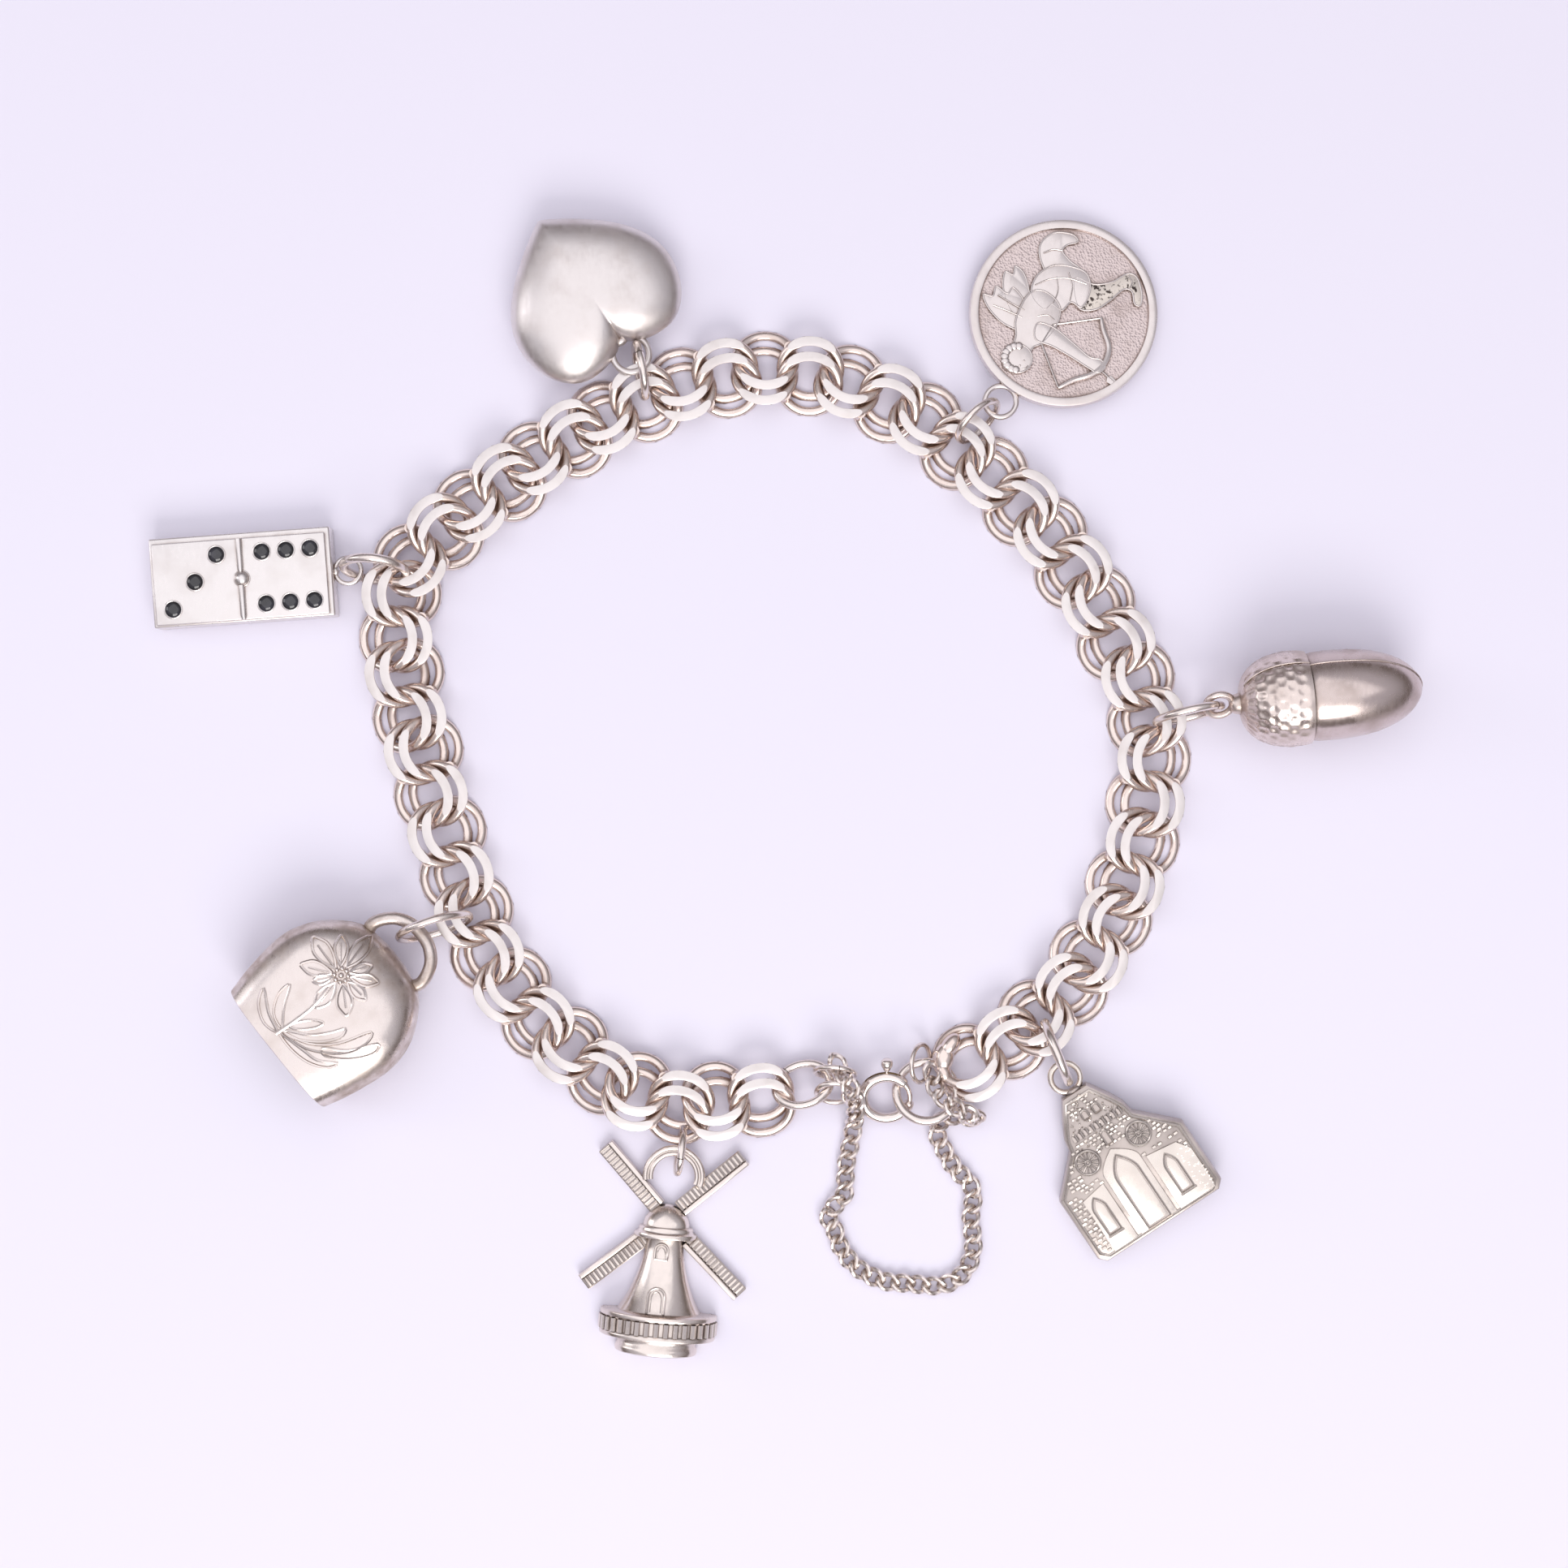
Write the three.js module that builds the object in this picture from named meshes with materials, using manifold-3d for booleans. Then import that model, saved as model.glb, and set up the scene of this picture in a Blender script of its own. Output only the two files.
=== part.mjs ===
// A silver charm bracelet, laid out flat on a table with its clasp closed.
// Twenty-six double curb links make the loop. A bolt ring closes it, a fine curb chain guards
// the clasp, and seven charms hang from the outside of the loop on jump rings.
// Millimetres, +Z up. The origin is under the middle of the whole bracelet, on the table.
import * as THREE from 'three';
import { mergeVertices } from 'three/addons/utils/BufferGeometryUtils.js';
import Module from 'manifold-3d';

const wasm = await Module();
wasm.setup();

// ---- Driving dimensions ----

// The main chain: each link is two pairs of wire rings, soldered side by side.
const link = {
  count: 26,
  ringAlong: 2.39,      // half length of a ring, along the chain
  ringAcross: 2.47,     // half width of a ring, in its own plane
  wireWide: 0.62,       // the ring wire, across its own plane
  wireThick: 0.54,
  tilt: 27,             // degrees that a pair leans about the line of the chain
  sideShifts: [0.875, -0.4],  // sideways places of the two rings of a pair
  pairSpacing: 3.77,    // first pair to second pair
  thickness: 2.12,      // the chain is ground flat above and below
  nub: 0.75,            // width of the solder nubs that join the two pairs
  nubSide: 2.0,
};

// The line of the main chain, from the clasp's right side round to its left side.
// The chain is lifted where a charm's jump ring passes under it.
const chainRoute = [
  { x: 14.9, y: -23.7, z: 0 }, { x: 22.1, y: -18.6, z: 0 }, { x: 27.2, y: -11.4, z: 0 },
  { x: 30.0, y: -2.9, z: 0 }, { x: 30.3, y: 5.7, z: 0 }, { x: 26.8, y: 13.7, z: 0 },
  { x: 22.0, y: 20.9, z: 0 }, { x: 15.9, y: 26.9, z: 0 }, { x: 8.8, y: 32.0, z: 0 },
  { x: 0.2, y: 34.5, z: 0 }, { x: -8.7, y: 33.1, z: 0 }, { x: -16.8, y: 29.4, z: 0 },
  { x: -24.1, y: 24.5, z: 0.3 }, { x: -31.2, y: 18.0, z: 0.6 }, { x: -31.9, y: 10.6, z: 0.2 },
  { x: -29.9, y: 1.9, z: 0 }, { x: -27.3, y: -6.7, z: 0 }, { x: -24.0, y: -14.9, z: 0 },
  { x: -18.1, y: -21.6, z: 0.2 }, { x: -10.5, y: -26.2, z: 0.75 }, { x: -1.8, y: -25.9, z: 0.3 },
  { x: 2.0, y: -24.6, z: 0 },
];

// How far along the line the first pair of some links lies. The links between are evenly spread.
const linkRuns = [
  { link: 1, run: 0.8 }, { link: 4, run: 21.1 }, { link: 9, run: 56.0 }, { link: 14, run: 91.2 },
  { link: 20, run: 131.1 }, { link: 24, run: 159.2 }, { link: 26, run: 172.8 },
];

// Charms: where the middle of each one lies, and how far it is turned from its upright drawing.
// Two flat ones are propped: one edge rests on a jump ring, the edge across from it on the table.
const charmPlaces = {
  heart: { x: -15.3, y: 40.5, turn: 34.5 },
  disc: { x: 23.2, y: 39.2, turn: 0, propped: { towards: 234.5, degrees: 3.2, reach: 7.85 } },
  acorn: { x: 44.3, y: 7.1, turn: 5.5 },
  church: { x: 29.5, y: -32.4, turn: 34, propped: { towards: 34, degrees: 5, reach: 6.65 } },
  windmill: { x: -10.1, y: -38.8, turn: -5 },
  bell: { x: -36.8, y: -18.5, turn: -51.4 },
  domino: { x: -44.5, y: 17.6, turn: 4.2 },
};

// Jump rings: middle, radius to the middle of the wire, the way the ring points across the
// table, and how far it leans over from standing upright.
const jumpRings = {
  ring_heart: { x: -11.87, y: 34.31, z: 2.57, radius: 2.14, wire: 0.3, points: -80, lean: 7 },
  ring_disc: { x: 16.03, y: 30.19, z: 2.22, radius: 2.09, wire: 0.27, points: 43, lean: 19 },
  ring_acorn: { x: 33.4, y: 5.93, z: 2.96, radius: 2.71, wire: 0.3, points: 13, lean: 7 },
  ring_church: { x: 22.51, y: -22.0, z: 2.85, radius: 2.56, wire: 0.32, points: -68, lean: -3 },
  ring_windmill: { x: -8.61, y: -30.25, z: 1.95, radius: 1.8, wire: 0.19, points: -98, lean: 5 },
  ring_bell: { x: -28.82, y: -11.64, z: 3.24, radius: 2.96, wire: 0.32, points: 18, lean: 12 },
  ring_domino: { x: -33.81, y: 17.87, z: 2.7, radius: 2.54, wire: 0.3, points: -5, lean: 17 },
};

// ---- Colours: worn silver, with dark enamel on the domino ----

const silver = new THREE.MeshStandardMaterial({ color: 0xcfc8c2, roughness: 0.3, metalness: 1 });
const charmSilver = new THREE.MeshStandardMaterial({ color: 0xc6bfb9, roughness: 0.35, metalness: 1 });
const enamel = new THREE.MeshStandardMaterial({ color: 0x0b0c10, roughness: 0.1, metalness: 0 });

// ---- Small tools for making closed solids ----

function toSolid(geometry) {
  const bare = geometry.index ? geometry.clone() : geometry;
  bare.deleteAttribute('normal');
  bare.deleteAttribute('uv');
  const merged = mergeVertices(bare, 1e-4);
  return new wasm.Manifold(new wasm.Mesh({
    numProp: 3,
    vertProperties: new Float32Array(merged.attributes.position.array),
    triVerts: new Uint32Array(merged.index.array),
  }));
}

function toGeometry(solid) {
  const mesh = solid.getMesh();
  const geometry = new THREE.BufferGeometry();
  geometry.setAttribute('position', new THREE.BufferAttribute(mesh.vertProperties, 3));
  geometry.setIndex(new THREE.BufferAttribute(mesh.triVerts, 1));
  return geometry;
}

function join(geometries) {
  return geometries.map(toSolid).reduce((whole, piece) => whole.add(piece));
}

function namedMesh(name, geometry, material) {
  const mesh = new THREE.Mesh(geometry, material);
  mesh.name = name;
  return mesh;
}

const radians = THREE.MathUtils.degToRad;

// A ring of round wire, flat in the XY plane.
function wireRing(radius, wire, steps = 16, sides = 6) {
  return new THREE.TorusGeometry(radius, wire, sides, steps);
}

// A wire bent along a curve: a round or flattened section swept along it.
function bentWire(curve, wireAcross, wireUp, steps, sides = 6) {
  const section = new THREE.Shape();
  for (let side = 0; side < sides; side += 1) {
    const angle = (2 * Math.PI * (side + 0.5)) / sides;
    const across = wireUp * Math.cos(angle);
    const up = wireAcross * Math.sin(angle);
    if (side === 0) section.moveTo(across, up);
    else section.lineTo(across, up);
  }
  section.closePath();
  return new THREE.ExtrudeGeometry(section, { steps, bevelEnabled: false, extrudePath: curve });
}

// A closed shell through sections, each a list of points of the same length, with flat ends.
function loft(sections) {
  const around = sections[0].length;
  const positions = sections.flat().flatMap((point) => [point.x, point.y, point.z]);
  const faces = [];
  for (let row = 0; row + 1 < sections.length; row += 1) {
    for (let step = 0; step < around; step += 1) {
      const next = (step + 1) % around;
      const a = row * around + step;
      const b = row * around + next;
      faces.push(a, b, b + around, a, b + around, a + around);
    }
  }
  const last = (sections.length - 1) * around;
  for (let step = 1; step + 1 < around; step += 1) {
    faces.push(0, step + 1, step);
    faces.push(last, last + step, last + step + 1);
  }
  const geometry = new THREE.BufferGeometry();
  geometry.setAttribute('position', new THREE.Float32BufferAttribute(positions, 3));
  geometry.setIndex(faces);
  return geometry;
}

// ---- The main chain ----

const chainCurve = new THREE.CatmullRomCurve3(
  chainRoute.map((point) => new THREE.Vector3(point.x, point.y, point.z + link.thickness / 2)),
  false, 'catmullrom', 0.5,
);
chainCurve.arcLengthDivisions = 2000;

function pointOnChain(run) {
  return chainCurve.getPointAt(run / chainCurve.getLength());
}

function runOfLink(number) {
  const next = Math.max(1, linkRuns.findIndex((row) => row.link >= number));
  const before = linkRuns[next - 1];
  const after = linkRuns[next];
  const share = (number - before.link) / (after.link - before.link);
  return before.run + share * (after.run - before.run);
}

// An oval drawn with eight corners.
function eightCorners(halfLength, halfWidth) {
  return Array.from({ length: 8 }, (unused, corner) => {
    const angle = (Math.PI * (corner + 0.5)) / 4;
    return new THREE.Vector2(halfLength * Math.cos(angle), halfWidth * Math.sin(angle));
  });
}

// One ring of the chain. Its corners stand a little outside the true oval.
function chainRing() {
  const half = link.wireWide / 2;
  const along = link.ringAlong * 1.08;
  const across = link.ringAcross * 1.04;
  const shape = new THREE.Shape(eightCorners(along + half, across + half));
  shape.holes.push(new THREE.Path(eightCorners(along - half, across - half)));
  const ring = new THREE.ExtrudeGeometry(shape, { depth: link.wireThick, bevelEnabled: false });
  ring.translate(0, 0, -link.wireThick / 2);
  return ring;
}

// One pair of rings, leaning so that its outer side is up (first pair) or down (second pair).
function ringPair(alongChain, mirror) {
  return link.sideShifts.map((shift) => {
    const ring = chainRing();
    ring.rotateX(radians(-link.tilt * mirror));
    ring.translate(alongChain, shift * mirror, 0);
    return ring;
  });
}

function makeLink() {
  const half = link.pairSpacing / 2;
  const nubs = [1, -1].map((side) => {
    const nub = new THREE.BoxGeometry(link.nub, link.nub, 1.7);
    nub.translate(0, side * link.nubSide, 0.05);
    return nub;
  });
  const rough = join([...ringPair(-half, 1), ...ringPair(half, -1), ...nubs]);
  const grindings = [1, -1].map((side) => {
    const stone = new THREE.BoxGeometry(20, 20, 2);
    stone.translate(0, 0, side * (link.thickness / 2 + 1));
    return stone;
  });
  return grindings.map(toSolid).reduce((whole, stone) => whole.subtract(stone), rough);
}

function placeLink(mesh, number) {
  const first = pointOnChain(runOfLink(number));
  const second = pointOnChain(runOfLink(number) + link.pairSpacing);
  const along = second.clone().sub(first).normalize();
  const inward = new THREE.Vector3(0, 0, 1).cross(along).normalize();
  const up = along.clone().cross(inward);
  mesh.position.copy(first).add(second).multiplyScalar(0.5);
  mesh.setRotationFromMatrix(new THREE.Matrix4().makeBasis(along, inward, up));
  mesh.updateMatrix();
}

function twoDigits(number) {
  return String(number).padStart(2, '0');
}

function makeChain(bracelet) {
  const plainLink = makeLink();
  const plainGeometry = toGeometry(plainLink);
  for (let number = 1; number <= link.count; number += 1) {
    const mesh = namedMesh(`link_${twoDigits(number)}`, plainGeometry, silver);
    placeLink(mesh, number);
    if (number === 1) mesh.geometry = soldered(plainLink, mesh.matrix);
    bracelet.add(mesh);
  }
}

// ---- The clasp, on the near side of the loop ----

const clasp = {
  x: 8.5, y: -25.9, z: 1.4,
  radius: 1.95, tube: 0.45, bore: 0.32,
  lean: 23,                       // its far side is up
  mouth: { from: -12, to: 40 },   // degrees, where the tube is open and the gate closes it
  slot: { from: 62, to: 140 },    // degrees, the slot for the thumb lever
  gateWire: 0.22,
  gate: { from: -20, to: 100 },
  leverAt: 90,
};
const bigRing = { x: 11.8, y: -25.4, z: 1.4, radius: 2.48, wire: 0.39, lean: -17 };

function leaning(geometry, place) {
  geometry.rotateX(radians(place.lean));
  geometry.translate(place.x, place.y, place.z);
  return geometry;
}

// Part of a round-wire ring in the XY plane, between two angles in degrees.
function wireArc(radius, wire, from, to, sides = 8) {
  const steps = Math.max(2, Math.round((to - from) / 18));
  const arc = new THREE.ArcCurve(0, 0, radius, radians(from), radians(to), false);
  const points = arc.getPoints(steps).map((point) => new THREE.Vector3(point.x, point.y, 0));
  const outward = points.map((point) => point.clone().normalize());
  const up = new THREE.Vector3(0, 0, 1);
  return loft(points.map((point, index) => Array.from({ length: sides }, (unused, side) => {
    const angle = (2 * Math.PI * (side + 0.5)) / sides;
    return point.clone()
      .addScaledVector(outward[index], wire * Math.cos(angle))
      .addScaledVector(up, wire * Math.sin(angle));
  })).reverse());
}

function makeClasp(bracelet) {
  const { radius, tube, bore, mouth, slot, gateWire, gate, leverAt } = clasp;
  const body = toSolid(wireArc(radius, tube, mouth.to, 360 + mouth.from));
  const hollow = toSolid(wireArc(radius, bore, mouth.to - 4, 360 - 100));
  const socket = toSolid(wireArc(radius, bore, mouth.from - 14, mouth.from + 4));
  const slotCut = toSolid(wireArc(radius + tube, 0.2, slot.from, slot.to, 4));
  const eyelet = wireRing(0.72, 0.15, 12, 6);
  eyelet.translate(-radius - tube - 0.6, 0.15, 0);
  const shell = body.subtract(hollow).subtract(socket).subtract(slotCut).add(toSolid(eyelet));
  bracelet.add(namedMesh('clasp_ring', leaning(toGeometry(shell), clasp), silver));

  const lever = new THREE.CylinderGeometry(0.14, 0.14, 1.1, 6);
  lever.translate(0, radius + 0.55, 0);
  lever.rotateZ(radians(leverAt - 90));
  const knob = new THREE.CylinderGeometry(0.5, 0.42, 0.75, 8);
  knob.translate(0, radius + tube + 0.85, 0);
  knob.rotateZ(radians(leverAt - 90));
  const sliding = join([wireArc(radius, gateWire, gate.from, gate.to), lever, knob]);
  bracelet.add(namedMesh('clasp_gate', leaning(toGeometry(sliding), clasp), silver));

  bracelet.add(namedMesh('clasp_jump_ring',
    leaning(wireRing(bigRing.radius, bigRing.wire, 20, 6), bigRing), silver));
}

// The first link is flooded with solder where the clasp's jump ring holds it.
const solderBlobs = [
  { along: -3.3, side: 1.9, size: 0.95 }, { along: -2.2, side: 2.5, size: 0.85 },
  { along: -4.0, side: 0.6, size: 0.75 },
];

function soldered(plainLink, placeMatrix) {
  const blobs = solderBlobs.map((blob) => {
    const drop = new THREE.SphereGeometry(blob.size, 8, 6);
    drop.scale(1, 1, 0.8);
    drop.translate(blob.along, blob.side, 0.1);
    return drop;
  });
  const passage = leaning(wireRing(bigRing.radius, bigRing.wire + 0.12, 20, 6), bigRing);
  passage.applyMatrix4(placeMatrix.clone().invert());
  const flooded = plainLink.add(join(blobs)).subtract(toSolid(passage));
  const largest = flooded.decompose().sort((one, two) => two.volume() - one.volume())[0];
  return toGeometry(largest);
}

// ---- Rings beside the clasp ----

const endLink = {
  x: 1.58, y: -24.82, z: 1.43, halfLength: 2.3, halfWidth: 1.8, wire: 0.36, turn: 18, lean: -26,
};
const endRings = {
  end_ring_flat: { x: 4.2, y: -25.47, z: 1.72, radius: 1.47, wire: 0.16, points: -3, lean: 38 },
  end_ring_upright: { x: 4.23, y: -23.78, z: 1.9, radius: 1.63, wire: 0.22, points: -5, lean: 21 },
  guard_ring: { x: 11.36, y: -23.06, z: 1.45, radius: 1.55, wire: 0.15, points: 88, lean: 32 },
};

// A jump ring: it points one way across the table and leans over from standing upright.
function placedRing(name, ring) {
  const mesh = namedMesh(name, wireRing(ring.radius, ring.wire, 14, 6), silver);
  mesh.rotation.set(radians(90 - ring.lean), 0, radians(ring.points), 'ZXY');
  mesh.position.set(ring.x, ring.y, ring.z);
  return mesh;
}

function makeEndRings(bracelet) {
  const oval = wireRing(1, endLink.wire / endLink.halfLength, 16, 6);
  oval.scale(endLink.halfLength, endLink.halfWidth, endLink.halfLength);
  const end = namedMesh('end_link', oval, silver);
  end.rotation.set(radians(endLink.lean), 0, radians(endLink.turn), 'ZXY');
  end.position.set(endLink.x, endLink.y, endLink.z);
  bracelet.add(end);
  for (const [name, ring] of Object.entries(endRings)) bracelet.add(placedRing(name, ring));
}

// ---- The fine guard chain ----

// It runs from the end rings in a loose loop over the table, under the clasp's jump ring and
// back to the guard ring. It is drawn as one soft tube as wide as its tiny links.
const guardChain = { across: 1.2, up: 0.76, steps: 80 };
const guardRoute = [
  [4.4, -23.0, 2.2], [4.8, -23.7, 2.3], [5.3, -24.5, 3.2], [5.8, -25.6, 3.15], [5.9, -26.9, 2.2],
  [5.8, -28.3, 0.75],
  [5.6, -29.6, 0.42], [5.2, -31.5, 0.42], [5.1, -32.9, 0.42], [5.0, -34.1, 0.42],
  [4.1, -35.2, 0.42], [3.7, -36.0, 0.42], [4.2, -37.0, 0.42], [4.5, -38.0, 0.42],
  [5.1, -39.1, 0.42], [6.0, -40.1, 0.42], [7.3, -40.9, 0.42], [8.8, -41.4, 0.42],
  [10.4, -41.5, 0.42], [12.6, -41.7, 0.42], [13.9, -41.4, 0.42], [15.0, -40.6, 0.42],
  [15.6, -39.4, 0.42], [15.8, -38.0, 0.42], [15.6, -36.7, 0.42], [15.6, -35.4, 0.42],
  [15.8, -34.2, 0.42], [15.4, -33.0, 0.42], [14.3, -32.0, 0.42], [13.4, -30.5, 0.42],
  [12.8, -29.2, 0.42], [12.9, -28.2, 0.42], [13.6, -27.7, 0.42], [14.7, -27.5, 0.45],
  [15.7, -27.7, 0.8], [16.0, -27.6, 1.6], [15.3, -27.2, 2.55], [14.2, -26.6, 2.9],
  [13.1, -25.8, 2.3], [12.5, -24.9, 1.7], [12.3, -23.8, 1.4],
].map(([x, y, z]) => new THREE.Vector3(x, y, z));

function makeGuardChain(bracelet) {
  const curve = new THREE.CatmullRomCurve3(guardRoute, false, 'catmullrom', 0.5);
  curve.arcLengthDivisions = 600;
  const tube = bentWire(curve, guardChain.across / 2, guardChain.up / 2, guardChain.steps, 6);
  bracelet.add(namedMesh('guard_chain', tube, silver));
}

// ---- Jump rings of the charms ----

function makeJumpRings(bracelet) {
  for (const [name, ring] of Object.entries(jumpRings)) bracelet.add(placedRing(name, ring));
}

// ---- Charms ----

function ringAt(x, y, z, radius, wire) {
  const ring = wireRing(radius, wire, 14, 6);
  ring.translate(x, y, z);
  return ring;
}

// A puffed heart, tip up in its own drawing.
const heart = { axis: -0.6, thickness: 4.8, tip: 7.95, cleft: -3.9, widest: -0.4, halfWidth: 7.35 };

function heartOutline(pointsPerCurve) {
  const shape = new THREE.Shape();
  shape.moveTo(0, heart.cleft);
  shape.bezierCurveTo(0.6, -4.9, 2.0, -5.35, 3.7, -5.3);
  shape.bezierCurveTo(5.8, -5.2, heart.halfWidth, -2.9, heart.halfWidth, heart.widest);
  shape.bezierCurveTo(heart.halfWidth, 2.8, 4.4, 5.4, 0.5, 7.75);
  const right = shape.getPoints(pointsPerCurve);
  const left = right.slice(1).reverse().map((point) => new THREE.Vector2(-point.x, point.y));
  return [...right, new THREE.Vector2(0, heart.tip), ...left];
}

function makeHeart() {
  const outline = heartOutline(4);
  const middle = { x: 0, y: 0.4 };
  const shares = [0.3, 0.62, 0.85, 0.97, 1, 0.97, 0.85, 0.62, 0.3];
  const rounding = 2.4;
  const sections = shares.map((share, row) => {
    const side = Math.sign(row - (shares.length - 1) / 2);
    const height = (heart.thickness / 2) * (1 - share ** rounding) ** (1 / 2);
    return outline.map((point) => new THREE.Vector3(
      middle.x + share * (point.x - middle.x) + heart.axis,
      middle.y + share * (point.y - middle.y),
      heart.thickness / 2 + side * height,
    ));
  });
  const bail = ringAt(heart.axis + 0.05, -5.45, heart.thickness / 2, 1.5, 0.27);
  return join([loft(sections), bail]);
}

// A flat disc with a raised rim, and a bail ring soldered to its edge.
const disc = { radius: 7.85, rim: 0.75, thickness: 1.15, field: 0.9 };

function makeDisc() {
  const profile = [
    [0, 0], [disc.radius, 0], [disc.radius, disc.thickness],
    [disc.radius - disc.rim, disc.thickness], [disc.radius - disc.rim, disc.field], [0, disc.field],
  ].map(([radius, height]) => new THREE.Vector2(radius, height));
  const plate = new THREE.LatheGeometry(profile, 36);
  plate.rotateX(Math.PI / 2);
  return join([plate, ringAt(-5.25, -7.35, disc.thickness / 2, 1.3, 0.24)]);
}

// An acorn lying on its side, its stem towards -X in its own drawing.
const acorn = { axisHeight: 4.02 };
const acornProfile = [
  { along: -7.6, radius: 0 }, { along: -7.6, radius: 0.7 }, { along: -6.9, radius: 0.8 },
  { along: -6.2, radius: 2.1 }, { along: -5.0, radius: 3.3 }, { along: -3.6, radius: 3.95 },
  { along: -2.4, radius: 4.0 }, { along: -1.6, radius: 3.75 }, { along: -1.55, radius: 3.3 },
  { along: -1.2, radius: 3.65 }, { along: 1.5, radius: 3.65 }, { along: 4.0, radius: 3.1 },
  { along: 6.2, radius: 2.2 }, { along: 7.6, radius: 1.1 }, { along: 8.2, radius: 0 },
];

function makeAcorn() {
  const profile = acornProfile.map((row) => new THREE.Vector2(row.radius, row.along));
  const body = new THREE.LatheGeometry(profile, 16);
  body.rotateZ(-Math.PI / 2);
  body.translate(0, 0.3, acorn.axisHeight);
  const stemRing = wireRing(1.1, 0.3, 12, 6);
  stemRing.rotateX(radians(40));
  stemRing.translate(-8.55, 0.35, acorn.axisHeight);
  return join([body, stemRing]);
}

// A church front, cast as a flat plaque, with a ring on its roof.
const church = { thickness: 1.9, edge: 0.35, axis: -0.5 };
const churchOutline = [
  { side: 5.5, up: -4.4 }, { side: 6.1, up: -3.8 }, { side: 6.1, up: 1.9 }, { side: 3.1, up: 4.9 },
  { side: 2.9, up: 6.0 }, { side: 1.2, up: 8.9 },
];

function makeChurch() {
  const inset = church.edge;
  const right = churchOutline.map((row) => new THREE.Vector2(row.side - inset, row.up));
  const left = [...right].reverse().map((point) => new THREE.Vector2(-point.x, point.y));
  const shape = new THREE.Shape([...right, ...left]);
  const plaque = new THREE.ExtrudeGeometry(shape, {
    depth: church.thickness - 2 * inset,
    bevelEnabled: true, bevelThickness: inset, bevelSize: inset, bevelSegments: 1,
  });
  plaque.translate(church.axis, 0, inset);
  return join([plaque, ringAt(church.axis + 0.05, 10.2, church.thickness / 2, 1.23, 0.28)]);
}

// A windmill with a flat back: four sails behind a round tower, and a bail between two sails.
const windmill = { flatten: 0.68, backHeight: 0.5, axis: 0.1, sailThickness: 0.9, sailWidth: 1.45 };
const windmillProfile = [
  { up: -8.45, radius: 0 }, { up: -8.45, radius: 3.35 }, { up: -7.1, radius: 3.7 },
  { up: -7.0, radius: 4.9 }, { up: -5.0, radius: 4.95 }, { up: -4.9, radius: 3.5 },
  { up: -3.0, radius: 2.5 }, { up: -1.0, radius: 1.8 }, { up: 1.1, radius: 1.5 },
  { up: 1.3, radius: 2.65 }, { up: 2.1, radius: 2.0 }, { up: 3.1, radius: 1.7 }, { up: 4.0, radius: 0 },
];
const sails = [
  { angle: 135.5, length: 8.0 }, { angle: 43.7, length: 8.1 },
  { angle: 221.8, length: 8.8 }, { angle: -41.5, length: 8.7 },
];
const sailHub = { x: 0.2, y: 2.75 };

function makeWindmill() {
  const profile = windmillProfile.map((row) => new THREE.Vector2(row.radius, row.up));
  const tower = new THREE.LatheGeometry(profile, 14, Math.PI / 14);
  tower.scale(1, 1, windmill.flatten);
  tower.translate(windmill.axis, 0, windmill.backHeight);
  const below = new THREE.BoxGeometry(30, 30, 10);
  below.translate(0, 0, -5);
  const front = toSolid(tower).subtract(toSolid(below));
  const blades = sails.map((sail) => {
    const blade = new THREE.BoxGeometry(sail.length, windmill.sailWidth, windmill.sailThickness);
    blade.translate(sail.length / 2, 0, windmill.sailThickness / 2);
    blade.rotateZ(radians(sail.angle));
    blade.translate(sailHub.x, sailHub.y, 0);
    return blade;
  });
  const bailCurve = new THREE.CatmullRomCurve3([
    new THREE.Vector3(-1.8, 5.9, 0.6), new THREE.Vector3(-1.55, 7.2, 0.8),
    new THREE.Vector3(-0.7, 8.25, 1.0), new THREE.Vector3(0.4, 8.6, 1.1),
    new THREE.Vector3(1.5, 8.25, 1.0), new THREE.Vector3(2.35, 7.2, 0.8),
    new THREE.Vector3(2.55, 5.9, 0.6),
  ]);
  const bail = bentWire(bailCurve, 0.45, 0.4, 10);
  return front.add(join([...blades, bail]));
}

// A cow bell lying on its face, open at its mouth, with a loop handle on its crown.
const bell = { wall: 0.6, axis: -0.55, middleHeight: 3.5 };
const bellSections = [
  { up: -5.55, halfWidth: 6.15, halfDepth: 3.3 }, { up: -3.0, halfWidth: 6.75, halfDepth: 3.42 },
  { up: 0.4, halfWidth: 7.1, halfDepth: 3.5 }, { up: 3.0, halfWidth: 6.4, halfDepth: 3.2 },
  { up: 4.9, halfWidth: 5.0, halfDepth: 2.5 }, { up: 6.1, halfWidth: 3.5, halfDepth: 1.6 },
  { up: 6.6, halfWidth: 1.4, halfDepth: 0.7 },
];

function bellLoft(shrink, mouthDrop) {
  const around = 16;
  const squareness = 0.62;
  return loft(bellSections.map((row, index) => {
    const up = index === 0 ? row.up - mouthDrop : row.up - shrink * Math.max(0, index - 3) * 0.3;
    return Array.from({ length: around }, (unused, step) => {
      const angle = (2 * Math.PI * step) / around;
      const across = Math.sign(Math.cos(angle)) * Math.abs(Math.cos(angle)) ** squareness;
      const depth = Math.sign(Math.sin(angle)) * Math.abs(Math.sin(angle)) ** squareness;
      return new THREE.Vector3(
        bell.axis + across * Math.max(0.4, row.halfWidth - shrink),
        up,
        bell.middleHeight - depth * Math.max(0.3, row.halfDepth - shrink),
      );
    });
  }));
}

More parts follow.
